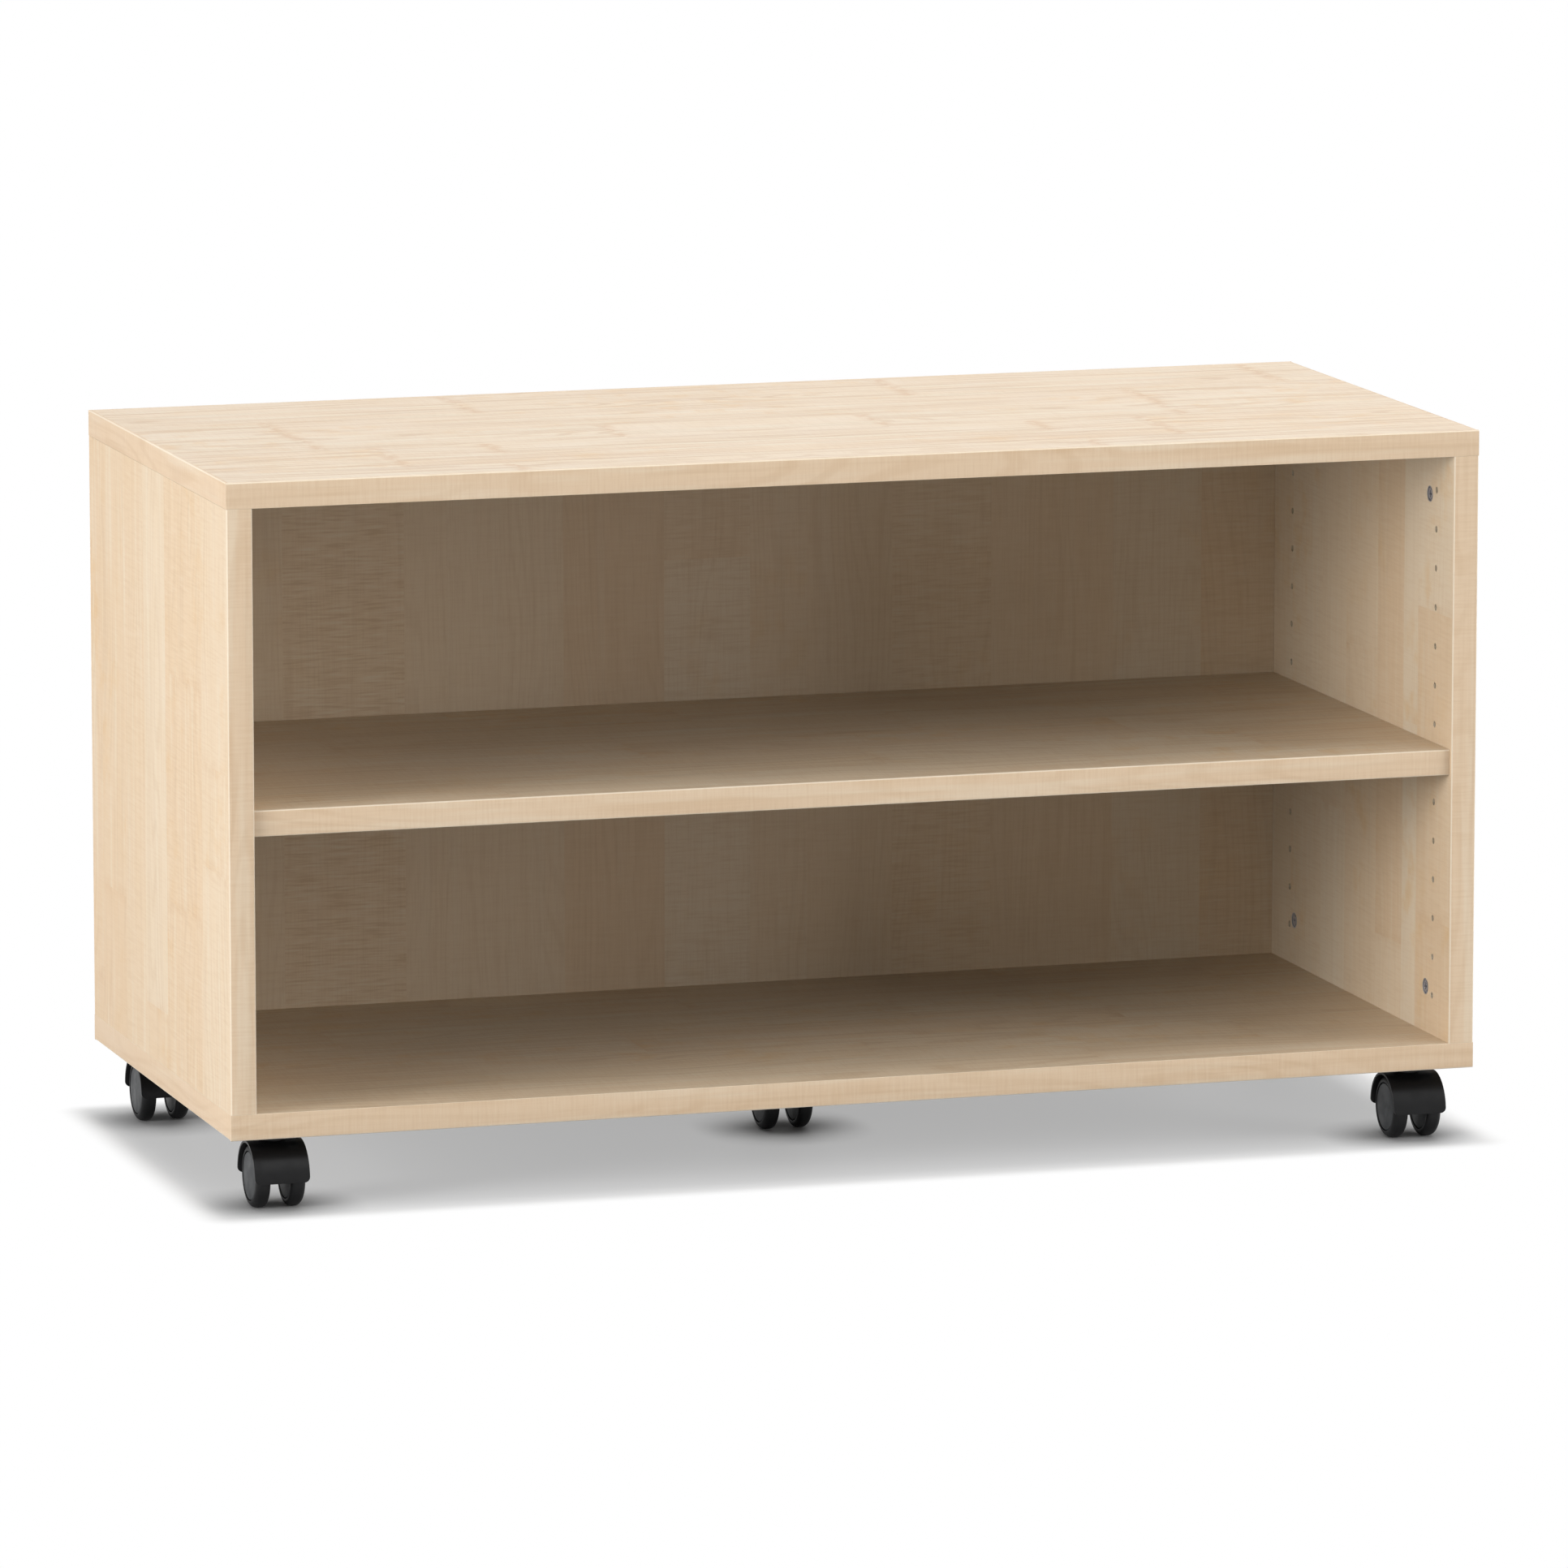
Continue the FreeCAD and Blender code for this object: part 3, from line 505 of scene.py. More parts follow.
HOOD = speckled("hood_black_nylon", rgb(17, 17, 18), rgb(13, 13, 14), 0.42, 0.35, 0.15, level=0.25)
HUB = speckled("hub_grey_nylon", rgb(46, 48, 50), rgb(40, 42, 44), 0.45, 0.35, 0.15, level=0.3)
TYRE = speckled("tyre_black", rgb(21, 21, 22), rgb(16, 16, 17), 0.50, 0.5, 0.2, level=0.25)
ZINC = speckled("cam_zinc", rgb(208, 206, 209), rgb(184, 182, 186), 0.36, 0.5, 0.2, metallic=0.5)
STEEL = speckled("plated_steel", rgb(190, 190, 188), rgb(170, 170, 170), 0.30, 0.6, 0.1,
                 metallic=1.0)
BEECH = speckled("dowel_beech", rgb(205, 165, 118), rgb(186, 146, 100), 0.6, 1.2, 0.3)
# Raw board, but pushed near white so that the shade deep in the pin holes reads lighter: painted
# light
LIGHTENED_CHIPBOARD = speckled("raw_chipboard_lightened", rgb(246, 229, 203), rgb(228, 206, 174), 0.85, 0.8, 0.5,
                     level=0.1)
print("plastics, metals and raw board ready")

# %% [markdown]
# The boards themselves are right as solids, with their real grooves and drillings, so they stay
# and get the decor that runs the way each board was cut: along the width on the flat boards,
# upright on the sides and back. Every other solid gets its finish too, by the ending of its name,
# also where a finer piece stands in for it later.

# %% Finish of the solids
FINISHES = (
    ("top_panel", MAPLE["top"]), ("bottom_panel", MAPLE["bottom"]), ("shelf", MAPLE["shelf"]),
    ("left_side_panel", MAPLE["left"]), ("right_side_panel", MAPLE["right"]),
    ("back_panel", MAPLE["back"]), ("side_edging", MAPLE["edge_z"]), ("edging", MAPLE["edge_x"]),
    ("_plate", STEEL), ("_kingpin", STEEL), ("_axle", STEEL), ("_screws", STEEL),
    ("cam_bolts", STEEL), ("shelf_pins", STEEL), ("cam_locks", ZINC), ("dowels", BEECH),
    ("_hood", HOOD), ("_hub", HUB), ("_tyre", TYRE),
)
for name, solid in nodes.items():
    solid.data.materials.clear()
    solid.data.materials.append(next(made for ending, made in FINISHES if name.endswith(ending)))
print("finished", len(nodes), "solids")

# %% [markdown]
# What repeats is grown by Geometry Nodes. Each tree has named inputs for its sizes. Running a
# tree means hanging it on an object as a modifier, setting the inputs, and turning the evaluated
# result into a plain mesh, because later steps and the export only know plain meshes.


# %% Geometry node helpers
def size_tree(name, sizes):
    """A geometry tree that takes points and named sizes. Returns it and its inputs by name."""
    tree = bpy.data.node_groups.new(name, "GeometryNodeTree")
    tree.interface.new_socket("Geometry", in_out="OUTPUT", socket_type="NodeSocketGeometry")
    tree.interface.new_socket("Points", in_out="INPUT", socket_type="NodeSocketGeometry")
    for label in sizes:
        tree.interface.new_socket(label, in_out="INPUT", socket_type="NodeSocketFloat")
    tree.interface.new_socket("Material", in_out="INPUT", socket_type="NodeSocketMaterial")
    return tree, tree.nodes.new("NodeGroupInput").outputs


def end_tree(tree, inputs, geometry):
    """Ends a tree in real faces with their material."""
    real = node(tree, "GeometryNodeRealizeInstances", Geometry=geometry)
    painted = node(tree, "GeometryNodeSetMaterial", Geometry=real.outputs[0],
                   Material=inputs["Material"])
    tree.links.new(painted.outputs[0], tree.nodes.new("NodeGroupOutput").inputs["Geometry"])


def on_points(tree, inputs, geometry):
    """Stands a copy of the geometry on every point, its +Z along the point's own direction."""
    way = node(tree, "GeometryNodeInputNamedAttribute", {"data_type": "FLOAT_VECTOR"},
               Name="way_out")
    turn = node(tree, "FunctionNodeAlignRotationToVector", {"axis": "Z"}, Vector=way.outputs[0])
    return node(tree, "GeometryNodeInstanceOnPoints", Points=inputs["Points"], Instance=geometry,
                Rotation=turn.outputs[0]).outputs[0]


def run_tree(tree, material, sizes, points=None):
    """Runs a tree on points and returns its result as a mesh. Sizes are in metres."""
    carrier = bpy.data.objects.new("carrier", points or bpy.data.meshes.new("carrier"))
    scene.collection.objects.link(carrier)
    modifier = carrier.modifiers.new("grow", "NODES")
    modifier.node_group = tree
    sockets = [item for item in tree.interface.items_tree if item.in_out == "INPUT"]
    identifier = {socket.name: socket.identifier for socket in sockets}
    modifier[identifier["Material"]] = material
    for label, value in sizes.items():
        modifier[identifier[label]] = value
    evaluated = carrier.evaluated_get(bpy.context.evaluated_depsgraph_get())
    mesh = bpy.data.meshes.new_from_object(evaluated)
    bpy.data.objects.remove(carrier)
    return mesh


def point_mesh(places):
    """A mesh of bare points, each with the direction that a piece on it faces."""
    mesh = bpy.data.meshes.new("places")
    mesh.from_pydata([at for at, _ in places], [], [])
    ways = mesh.attributes.new("way_out", "FLOAT_VECTOR", "POINT")
    for entry, (_, way) in zip(ways.data, places):
        entry.vector = way
    return mesh


print("geometry node helpers ready")

# %% [markdown]
# A finished piece is one object at the origin, with its place in its mesh. Its meshes are joined,
# points that coincide are merged, the faces turn outwards, and edges that bend less than an angle
# are shaded smooth. Then it is told which body it rides on, which finish it has and which solids
# it stands for.

# %% From meshes to pieces
# Points of a piece that are closer than this, in metres, become one
SAME_POINT = 1e-7


def as_piece(name, meshes, body, replaced=(), smooth_below=35):
    """Joins meshes into one object at the origin, faces outwards, which rides on a body."""
    together = bmesh.new()
    for mesh in meshes:
        together.from_mesh(mesh)
    bmesh.ops.remove_doubles(together, verts=together.verts, dist=SAME_POINT)
    bmesh.ops.recalc_face_normals(together, faces=together.faces)
    for face in together.faces:
        face.material_index = 0
    whole = bpy.data.meshes.new(name)
    together.to_mesh(whole)
    together.free()
    whole.shade_smooth()
    whole.set_sharp_from_angle(angle=math.radians(smooth_below))
    whole.materials.append(next(material for material in meshes[0].materials if material))
    piece = bpy.data.objects.new(name, whole)
    scene.collection.objects.link(piece)
    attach(piece, body)
    if replaced:
        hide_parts(*replaced)
    return piece


def box_of(name):
    """The lowest and the highest corner of a solid."""
    return [Vector(corner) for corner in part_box(name)]


print("ready to make pieces")

# %% [markdown]
# Every visible board edge carries a glued strip of edging, 2 mm thick, with its two outer corners
# rounded by the trimming tool. That small round catches light along the edges, and a highlight
# painted on it in a paler colour draws the bright line there.
# Where a strip lies against the next board its corner is almost sharp, so that only a fine seam
# shows. The strip is one section carried along a line, so a tree fillets the two outer corners of
# a rectangle and sweeps it. The grain of a strip runs along it, so strips along the width, along
# the depth and upright are separate pieces.

# %% Edging strip tree
BOARD, EDGING = 19 * MM, 2 * MM
OPEN_ROUND, SEAM_ROUND, ROUND_STEPS = 1.2 * MM, 0.3 * MM, 6
strip_tree, strip_in = size_tree(
    "edging_strip", ["Length", "Thickness", "Width", "Near Round", "Far Round"])
section = node(strip_tree, "GeometryNodeCurvePrimitiveQuadrilateral", Width=strip_in["Thickness"],
               Height=strip_in["Width"])
position = node(strip_tree, "GeometryNodeInputPosition").outputs[0]
corner = node(strip_tree, "ShaderNodeSeparateXYZ", Vector=position)
is_outer = math_node(strip_tree, "GREATER_THAN", corner.outputs[0], 0.0)
is_far = math_node(strip_tree, "GREATER_THAN", corner.outputs[1], 0.0)
round_change = math_node(strip_tree, "SUBTRACT", strip_in["Far Round"], strip_in["Near Round"])
corner_round = times_plus(strip_tree, is_far, round_change, strip_in["Near Round"])
trimmed = node(strip_tree, "GeometryNodeFilletCurve", {"mode": "POLY"}, Curve=section.outputs[0],
               Count=ROUND_STEPS, Radius=times(strip_tree, is_outer, corner_round))
far_end = node(strip_tree, "ShaderNodeCombineXYZ", Z=strip_in["Length"])
run_line = node(strip_tree, "GeometryNodeCurvePrimitiveLine", End=far_end.outputs[0])
swept = node(strip_tree, "GeometryNodeCurveToMesh", Curve=run_line.outputs[0],
             Profile_Curve=trimmed.outputs[0], Fill_Caps=True)
end_tree(strip_tree, strip_in, swept.outputs[0])
print("strip tree:", len(strip_tree.nodes), "nodes")

# %% [markdown]
# A strip is grown at the origin, turned the way it runs and faces, and moved to its corner. The
# corners come from the boxes of the solid edging, so each strip sits where the solid one does.
# The shelf's strip reaches a little past its solid at both ends, as the next step explains.

# %% Edging strips
SHELF_REACH = 0.85 * MM
AXIS = {"x": Vector((1, 0, 0)), "y": Vector((0, 1, 0)), "z": Vector((0, 0, 1))}


def strip(run, out, at, length, seam=None):
    """A strip that runs along one axis and faces out, from the corner where its section starts."""
    along = AXIS[run]
    rounds = {"Near Round": OPEN_ROUND, "Far Round": OPEN_ROUND}
    # The side of the section that lies against another board, if any, is "up" or "down"
    if seam:
        far_side = "up" if along.cross(out).z > 0 else "down"
        rounds["Far Round" if seam == far_side else "Near Round"] = SEAM_ROUND
    sizes = {"Length": length, "Thickness": EDGING, "Width": BOARD, **rounds}
    mesh = run_tree(strip_tree, MAPLE[f"edge_{run}"], sizes)
    turn = Matrix((out, along.cross(out), along)).transposed().to_4x4()
    middle = Matrix.Translation((EDGING / 2, BOARD / 2, 0))
    mesh.transform(Matrix.Translation(at) @ turn @ middle)
    return mesh


for panel, seam in (("top_panel", "down"), ("bottom_panel", "up")):
    low, high = box_of(f"{panel}_edging")
    wide, deep = high.x - low.x, high.y - low.y - 2 * EDGING
    as_piece(f"{panel}_long_edging", [
        strip("x", -AXIS["y"], (low.x, low.y + EDGING, high.z), wide, seam),
        strip("x", AXIS["y"], (low.x, high.y - EDGING, low.z), wide, seam),
    ], "case", [f"{panel}_edging"])
    as_piece(f"{panel}_end_edging", [
        strip("y", -AXIS["x"], (low.x + EDGING, low.y + EDGING, low.z), deep, seam),
        strip("y", AXIS["x"], (high.x - EDGING, low.y + EDGING, high.z), deep, seam),
    ], "case", [f"{panel}_edging"])
for side in ("left", "right"):
    low, high = box_of(f"{side}_side_edging")
    as_piece(f"{side}_side_strips", [
        strip("z", -AXIS["y"], (low.x, low.y + EDGING, low.z), high.z - low.z),
        strip("z", AXIS["y"], (high.x, high.y - EDGING, low.z), high.z - low.z),
    ], "case", [f"{side}_side_edging"])
low, high = box_of("shelf_edging")
wide = high.x - low.x + 2 * SHELF_REACH
as_piece("shelf_strip", [
    strip("x", -AXIS["y"], (low.x - SHELF_REACH, high.y, high.z), wide),
], "shelf", ["shelf_edging"])
print("edging strips made")

# %% [markdown]
# The shelf has a millimetre of play between the side boards, and a millimetre at each end would
# show as a black line. In the picture the shelf looks snug, so the board that is seen is a copy
# whose ends reach almost to the sides.

# %% Snug shelf board
END_BAND = 0.1 * MM
low, high = box_of("shelf")
snug = nodes["shelf"].data.copy()
for vertex in snug.vertices:
    if vertex.co.x < low.x + END_BAND:
        vertex.co.x -= SHELF_REACH
    elif vertex.co.x > high.x - END_BAND:
        vertex.co.x += SHELF_REACH
as_piece("shelf_board", [snug], "shelf", ["shelf"])
print("shelf board", round((high.x - low.x + 2 * SHELF_REACH) / MM, 2), "mm long")

# %% [markdown]
# The rows of holes in the side boards are drilled through the decor into the chipboard, so their
# walls are raw. A thin sleeve with a bottom, stood in every free hole, shows that. The four holes
# that hold the shelf's pins are left out. A tree makes one sleeve from a circle and a rectangle
# and stands it on every point.

# %% Raw walls of the pin holes
INNER_FACE = 453.0
PIN_ROWS = (-167.5, 144.0)
FIRST_PIN, PIN_PITCH, PIN_COUNT, SHELF_PIN = 103.5, 29.0, 14, 6
SLEEVE = {"Radius": 2.42 * MM, "Wall": 0.1 * MM, "Depth": 11.8 * MM}
SLEEVE_SIDES = 20


def lowered(tree, geometry, depth):
    """The geometry, moved down by a depth."""
    down = node(tree, "ShaderNodeCombineXYZ", Z=times(tree, depth, -1.0))
    return node(tree, "GeometryNodeTransform", Geometry=geometry,
                Translation=down.outputs[0]).outputs[0]


def joined(tree, *parts):
    made = node(tree, "GeometryNodeJoinGeometry")
    for part in parts:
        tree.links.new(part, made.inputs[0])
    return made.outputs[0]


def on_sides(rows, levels):
    """Places on the inner faces of both side boards: rows front and rear, and levels, in mm."""
    return [
        (Vector((side * INNER_FACE, y, z)) * MM, (-side, 0, 0))
        for side in (-1, 1) for y in rows for z in levels
    ]


sleeve_tree, sleeve_in = size_tree("hole_sleeve", SLEEVE)
ring = node(sleeve_tree, "GeometryNodeCurvePrimitiveCircle", Resolution=SLEEVE_SIDES,
            Radius=sleeve_in["Radius"])
wall = node(sleeve_tree, "GeometryNodeCurvePrimitiveQuadrilateral", Width=sleeve_in["Wall"],
            Height=sleeve_in["Depth"])
tube = node(sleeve_tree, "GeometryNodeCurveToMesh", Curve=ring.outputs[0],
            Profile_Curve=wall.outputs[0])
disc = node(sleeve_tree, "GeometryNodeMeshCylinder", Vertices=SLEEVE_SIDES,
            Radius=sleeve_in["Radius"], Depth=sleeve_in["Wall"])
half_depth = times(sleeve_tree, sleeve_in["Depth"], 0.5)
cup = joined(sleeve_tree, tube.outputs[0], lowered(sleeve_tree, disc.outputs[0], half_depth))
sunk = lowered(sleeve_tree, cup, half_depth)
end_tree(sleeve_tree, sleeve_in, on_points(sleeve_tree, sleeve_in, sunk))

pin_levels = [FIRST_PIN + hole * PIN_PITCH for hole in range(PIN_COUNT) if hole != SHELF_PIN]
hole_places = on_sides(PIN_ROWS, pin_levels)
# The sleeves' very pale chipboard paints light into the shade inside the holes
sleeves = run_tree(sleeve_tree, LIGHTENED_CHIPBOARD, SLEEVE, point_mesh(hole_places))
as_piece("pin_hole_walls", [sleeves], "case")
print("raw walls in", len(hole_places), "pin holes")

# %% [markdown]
# A cam lock is a die-cast zinc drum set flush in the board. Its face has a thin rim, a groove
# inside it, and a boss in the middle with a cross recess for the driver. A tree makes the drum,
# cuts out a round dish, stands the boss in it and cuts the cross.

# %% Cam locks
CAM_ROWS, CAM_LEVELS = (-153.5, 133.5), (108.0, 476.0)
CAM = {
    "Radius": 6 * MM, "Depth": 12.5 * MM, "Dish Radius": 5.3 * MM, "Dish Depth": 1.4 * MM,
    "Boss Radius": 3.9 * MM, "Boss Sunk": 0.3 * MM, "Span": 5.4 * MM, "Slot": 1.5 * MM,
    "Recess": 3.2 * MM,
}
CAM_SIDES, BOSS_SIDES = 48, 40
EXACT = {"solver": "EXACT"}


def cut(tree, body, *cutters):
    """The body with the cutters taken out of it."""
    made = node(tree, "GeometryNodeMeshBoolean", {"operation": "DIFFERENCE", **EXACT})
    feed(tree, made.inputs["Mesh 1"], body)
    for cutter in cutters:
        tree.links.new(cutter, made.inputs["Mesh 2"])
    return made.outputs[0]


def cross_cut(tree, body, span, slot, depth):
    """Cuts a driver's cross into the top of a body, whose top is at height zero."""
    bars = []
    for first, second in ((span, slot), (slot, span)):
        size = node(tree, "ShaderNodeCombineXYZ", X=first, Y=second, Z=times(tree, depth, 2.0))
        bars.append(node(tree, "GeometryNodeMeshCube", Size=size.outputs[0]).outputs[0])
    return cut(tree, body, *bars)


def drum(tree, radius, depth, sides):
    """A cylinder whose top face is at height zero."""
    made = node(tree, "GeometryNodeMeshCylinder", Vertices=sides, Radius=radius, Depth=depth)
    return lowered(tree, made.outputs[0], times(tree, depth, 0.5))


cam_tree, cam_in = size_tree("cam_lock", CAM)
dish = node(cam_tree, "GeometryNodeMeshCylinder", Vertices=CAM_SIDES, Radius=cam_in["Dish Radius"],
            Depth=times(cam_tree, cam_in["Dish Depth"], 2.0))
cam_body = drum(cam_tree, cam_in["Radius"], cam_in["Depth"], CAM_SIDES)
dished = cut(cam_tree, cam_body, dish.outputs[0])
boss = drum(cam_tree, cam_in["Boss Radius"], cam_in["Recess"], BOSS_SIDES)
stood = node(cam_tree, "GeometryNodeMeshBoolean", {"operation": "UNION", **EXACT})
for solid in (dished, lowered(cam_tree, boss, cam_in["Boss Sunk"])):
    cam_tree.links.new(solid, stood.inputs["Mesh 2"])
crossed = cross_cut(cam_tree, stood.outputs[0], cam_in["Span"], cam_in["Slot"], cam_in["Recess"])
end_tree(cam_tree, cam_in, on_points(cam_tree, cam_in, crossed))

cam_places = on_sides(CAM_ROWS, CAM_LEVELS)
cams = run_tree(cam_tree, ZINC, CAM, point_mesh(cam_places))
as_piece("cam_lock_drums", [cams], "case", ["cam_locks"])
print("cam locks:", len(cam_places))

# %% [markdown]
# Each caster plate is held by four pan-head wood screws. Only their heads show, from below, but
# the whole screw is made: a cone-edged head with a driver's cross, a shank that starts inside the
# head, and a point that starts inside the shank, so that each part stays a closed shell.

# %% Caster screws
CASTER_SPOTS = {
    "front_left": (-433.0, -167.5), "front_right": (433.0, -167.5),
    "rear_left": (-433.0, 167.5), "rear_right": (433.0, 167.5), "middle": (0.0, 0.0),
}
PLATE_LOW, HEAD_HEIGHT = 52.5, 1.6
SCREW_OFFSETS = (-14.0, 14.0)
SCREW = {
    "Head Radius": 3.8 * MM, "Head Height": HEAD_HEIGHT * MM, "Shank Radius": 2 * MM,
    "Shank Length": 12 * MM, "Point Length": 3 * MM, "Span": 4.2 * MM, "Slot": 0.9 * MM,
}
HEAD_SIDES, SHANK_SIDES = 32, 24
# Shares: the head's flat of its radius, the cross and the shank's start of the head's height, and
# how much of the point's length stands out of the shank
HEAD_FLAT, CROSS_DEPTH, SHANK_START, POINT_OUT = 0.72, 0.8, 0.9, 0.95

screw_tree, screw_in = size_tree("caster_screw", SCREW)
head = node(screw_tree, "GeometryNodeMeshCone", Vertices=HEAD_SIDES,
            Radius_Top=times(screw_tree, screw_in["Head Radius"], HEAD_FLAT),
            Radius_Bottom=screw_in["Head Radius"], Depth=screw_in["Head Height"])
head_low = lowered(screw_tree, head.outputs[0], screw_in["Head Height"])
crossed = cross_cut(screw_tree, head_low, screw_in["Span"], screw_in["Slot"],
                    times(screw_tree, screw_in["Head Height"], CROSS_DEPTH))
shank_start = times(screw_tree, screw_in["Head Height"], SHANK_START)
shank = drum(screw_tree, screw_in["Shank Radius"], screw_in["Shank Length"], SHANK_SIDES)
point = node(screw_tree, "GeometryNodeMeshCone", Vertices=SHANK_SIDES,
             Radius_Top=screw_in["Shank Radius"], Radius_Bottom=0.0,
             Depth=screw_in["Point Length"])
point_reach = math_node(screw_tree, "ADD", screw_in["Shank Length"],
                        times(screw_tree, screw_in["Point Length"], POINT_OUT))
point_end = math_node(screw_tree, "ADD", shank_start, point_reach)
screw = joined(screw_tree, crossed, lowered(screw_tree, shank, shank_start),
               lowered(screw_tree, point.outputs[0], point_end))
end_tree(screw_tree, screw_in, on_points(screw_tree, screw_in, screw))

screw_places = [
    (Vector((x + right, y + back, PLATE_LOW - HEAD_HEIGHT)) * MM, (0, 0, -1))
    for x, y in CASTER_SPOTS.values() for right in SCREW_OFFSETS for back in SCREW_OFFSETS
]
screws = run_tree(screw_tree, STEEL, SCREW, point_mesh(screw_places))
as_piece("caster_plate_screws", [screws], "case", ["caster_screws"])
print("caster screws:", len(screw_places))

# %% [markdown]
# The moulded hoods, discs and tyres have the right shape as solids, but a solid's edges are
# perfectly sharp, and a mould's never are. A merged copy of each gets a small bevel on its sharp
# edges, which then catch a thin line of light. Its flat triangles are first paired into quads
# rather than merged into whole faces, because a ring merged into one narrow face can't be cut
# into triangles again. The copy rides on the same body as the solid that it stands for.

# %% Hoods, discs and tyres with softened edges
HOOD_EDGE, WHEEL_EDGE, EDGE_STEPS = 0.3 * MM, 0.25 * MM, 2
# Points of a solid that are closer than this, in metres, become one
SAME_SOLID_POINT = 1e-6
# Angles in degrees: triangles that are flat enough to pair, edges that are sharp enough to bevel,
# and what is shaded smooth afterwards
FLAT_ANGLE, SHARP_ANGLE, SMOOTH_ANGLE = 0.5, 32, 25


def softened(solid, body, material, width):
    """A copy of a moulded solid with its sharp edges rounded, as a piece that replaces it."""
    mesh = nodes[solid].data.copy()
    merged = bmesh.new()
    merged.from_mesh(mesh)
    bmesh.ops.remove_doubles(merged, verts=merged.verts, dist=SAME_SOLID_POINT)
    bmesh.ops.join_triangles(merged, faces=merged.faces, angle_shape_threshold=math.pi,
                             angle_face_threshold=math.radians(FLAT_ANGLE))
    merged.to_mesh(mesh)
    merged.free()
    mesh.materials.clear()
    mesh.materials.append(material)
    carrier = bpy.data.objects.new(solid, mesh)
    scene.collection.objects.link(carrier)
    bevel = carrier.modifiers.new("soft_edges", "BEVEL")
    bevel.width = width
    bevel.segments = EDGE_STEPS
    bevel.limit_method = "ANGLE"
    bevel.angle_limit = math.radians(SHARP_ANGLE)
    evaluated = carrier.evaluated_get(bpy.context.evaluated_depsgraph_get())
    rounded = bpy.data.meshes.new_from_object(evaluated)
    bpy.data.objects.remove(carrier)
    return as_piece(f"{solid}_soft", [rounded], body, [solid], SMOOTH_ANGLE)


for spot in CASTER_SPOTS:
    softened(f"{spot}_caster_hood", f"{spot}_swivel", HOOD, HOOD_EDGE)
    for side in ("left", "right"):
        wheel, body = f"{spot}_caster_{side}_wheel", f"{spot}_{side}_wheel"
        softened(f"{wheel}_hub", body, HUB, WHEEL_EDGE)
        softened(f"{wheel}_tyre", body, TYRE, WHEEL_EDGE)
print("softened the moulded parts of", len(CASTER_SPOTS), "casters")

# %% [markdown]
# The studio is a white floor with soft white lamps: two low on the left, one of them wide, a wide
# one low on the right, one overhead, a large one high in front and one low behind, and a faint
# even glow all round. The low side lamps reach into the compartments from the left and the right,
# the lamps from above stop at the boards, and so the inside grows dark towards the back. The
# camera and mirror-like reflections see plain white all round, as in a product picture.

# %% Studio light
DOME_LEVEL = 0.08
UNIT_MIDDLE = Vector((0, 0, 0.3))
WHITE = (1, 1, 1, 1)
# Where each lamp stands, how wide and high it is, and its watts, all aimed at the unit's middle
LAMPS = {
    "left_lamp": ((-4.2, -1.3, 0.9), (1.2, 1.2), 73.0),
    "wide_left_lamp": ((-4.1, -1.7, 0.9), (3.2, 1.6), 72.0),
    "wide_right_lamp": ((4.3, -2.4, 0.9), (3.2, 1.6), 128.0),
    "top_lamp": ((0.6, 0.2, 4.0), (3.0, 3.0), 98.0),
    "front_lamp": ((0.0, -3.0, 3.5), (4.0, 4.0), 46.0),
    "rear_lamp": ((1.4, 4.6, 0.45), (2.0, 0.8), 120.0),
}
# The low lamps would show as a glare on the top board
GLOSSY_LAMPS = ("top_lamp", "front_lamp")


def seen_directly(tree):
    """1 for what the camera sees, itself or through gloss and glass, and 0 for other light."""
    rays = node(tree, "ShaderNodeLightPath").outputs
    seen = math_node(tree, "MAXIMUM", rays["Is Camera Ray"], rays["Is Glossy Ray"])
    return math_node(tree, "MAXIMUM", seen, rays["Is Transmission Ray"])


def either_shader(tree, factor, first, second):
    made = node(tree, "ShaderNodeMixShader")
    for socket, value in zip(made.inputs, (factor, first.outputs[0], second.outputs[0])):
        feed(tree, socket, value)
    return made


world = bpy.data.worlds.new("studio")
scene.world = world
world.use_nodes = True
sky = world.node_tree
sky.nodes.clear()
white = node(sky, "ShaderNodeBackground", Strength=1.0, Color=WHITE)
light = node(sky, "ShaderNodeBackground", Strength=DOME_LEVEL, Color=WHITE)
node(sky, "ShaderNodeOutputWorld",
     Surface=either_shader(sky, seen_directly(sky), light, white).outputs[0])

for name, (at, size, watts) in LAMPS.items():
    lamp = bpy.data.lights.new(name, "AREA")
    lamp.shape = "RECTANGLE"
    lamp.size, lamp.size_y = size
    lamp.energy = watts
    thing = bpy.data.objects.new(name, lamp)
    thing.location = at
    thing.rotation_euler = (UNIT_MIDDLE - Vector(at)).to_track_quat("-Z", "Y").to_euler()
    thing.visible_glossy = name in GLOSSY_LAMPS
    scene.collection.objects.link(thing)
scene.view_settings.view_transform = "Standard"
# One bounce is enough for an open case, and keeps the wood's colour from building up inside it
scene.cycles.diffuse_bounces = 1
print("studio light ready:", ", ".join(LAMPS))

# %% [markdown]
# The floor is matt and pale. For the camera it is white, apart from the soft shadow under and
# close round the unit: a part of it follows the lamps, a part glows evenly except where wheels
# stand on it, and within a few centimetres of the unit's outline it fades to plain white. For
# light that bounces off it, it is a plain grey, so that it doesn't fill the compartments from
# below.

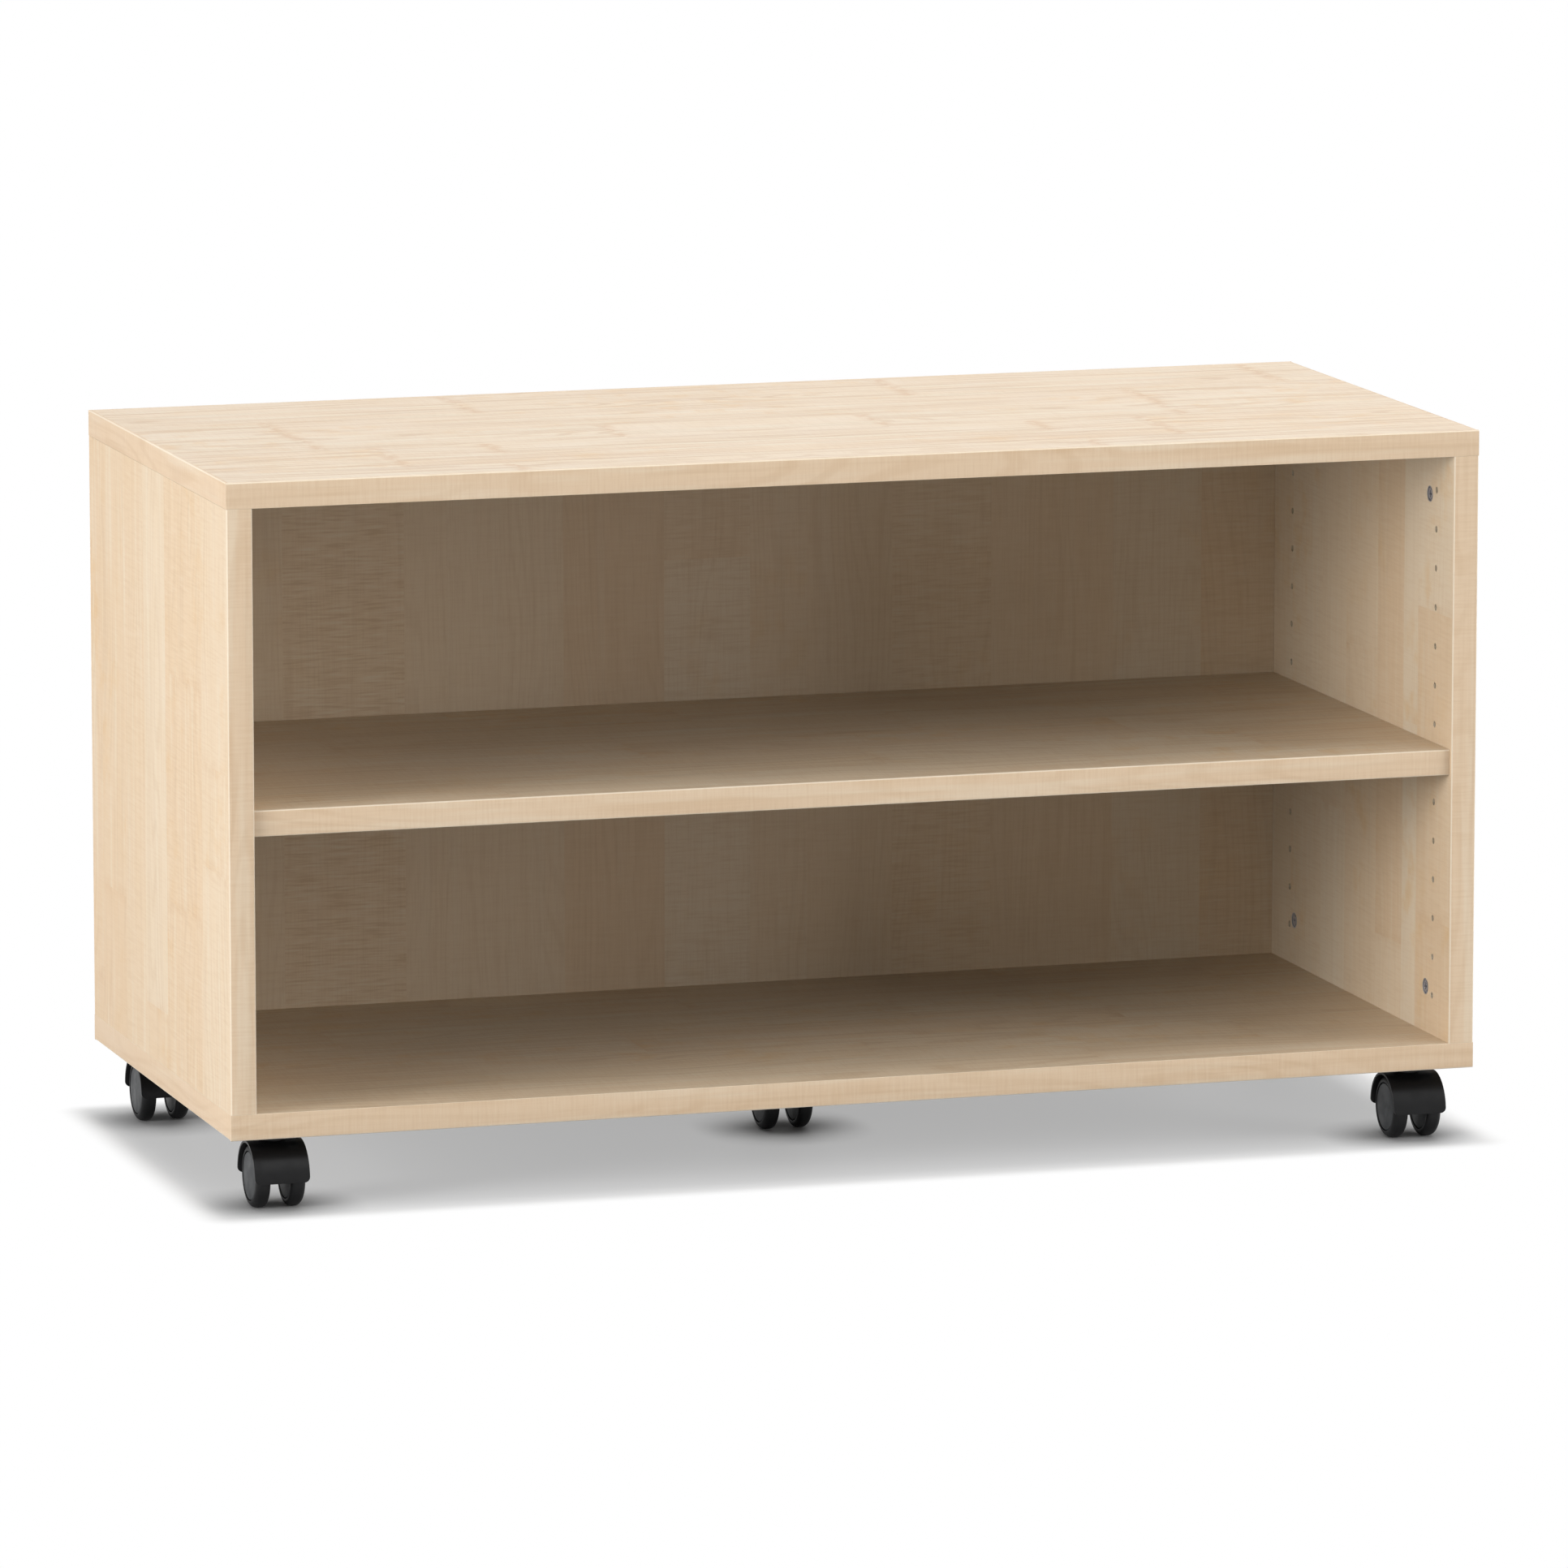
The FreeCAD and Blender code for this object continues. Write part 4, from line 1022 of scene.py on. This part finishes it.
# %% Floor
FLOOR_SIZE = 60.0
FLOOR_GREY = (0.5, 0.5, 0.5, 1)
FLOOR_GLOW = 0.385
CONTACT_REACH, CONTACT_POWER, CONTACT_SAMPLES = 50 * MM, 3.2, 16
FADE_FROM, FADE_TO = 0.0, 30 * MM
UNIT_HALF = (472 * MM, 204 * MM)

bpy.ops.mesh.primitive_plane_add(size=FLOOR_SIZE)
floor = bpy.context.object
floor.name = "floor"
floor_material, tree, floor_shader = new_material("floor_white")
tree.nodes.remove(floor_shader)
place = node(tree, "ShaderNodeTexCoord").outputs["Object"]
outside = []
for side, half in zip(node(tree, "ShaderNodeSeparateXYZ", Vector=place).outputs[:2], UNIT_HALF):
    beyond = math_node(tree, "SUBTRACT", math_node(tree, "ABSOLUTE", side), half)
    outside.append(math_node(tree, "MAXIMUM", beyond, 0.0))
away = node(tree, "ShaderNodeCombineXYZ", X=outside[0], Y=outside[1])
distance = node(tree, "ShaderNodeVectorMath", {"operation": "LENGTH"})
feed(tree, distance.inputs[0], away.outputs[0])
fade = stretch(tree, distance.outputs["Value"], FADE_FROM, FADE_TO)
# Ambient occlusion dims the glow round the casters: a painted contact shadow
contact = node(tree, "ShaderNodeAmbientOcclusion", {"samples": CONTACT_SAMPLES},
               Distance=CONTACT_REACH)
open_sky = math_node(tree, "POWER", contact.outputs["AO"], CONTACT_POWER)
glow = node(tree, "ShaderNodeEmission", Color=WHITE, Strength=times(tree, open_sky, FLOOR_GLOW))
matt = node(tree, "ShaderNodeBsdfDiffuse", Color=FLOOR_GREY)
near_floor = node(tree, "ShaderNodeAddShader")
feed(tree, near_floor.inputs[0], matt.outputs[0])
feed(tree, near_floor.inputs[1], glow.outputs[0])
white_floor = node(tree, "ShaderNodeEmission", Color=WHITE, Strength=1.0)
seen_floor = either_shader(tree, fade, near_floor, white_floor)
bounce = node(tree, "ShaderNodeBsdfDiffuse", Color=FLOOR_GREY)
whole_floor = either_shader(tree, seen_directly(tree), bounce, seen_floor)
tree.links.new(whole_floor.outputs[0], tree.nodes["Material Output"].inputs["Surface"])
floor.data.materials.append(floor_material)
print("floor ready")
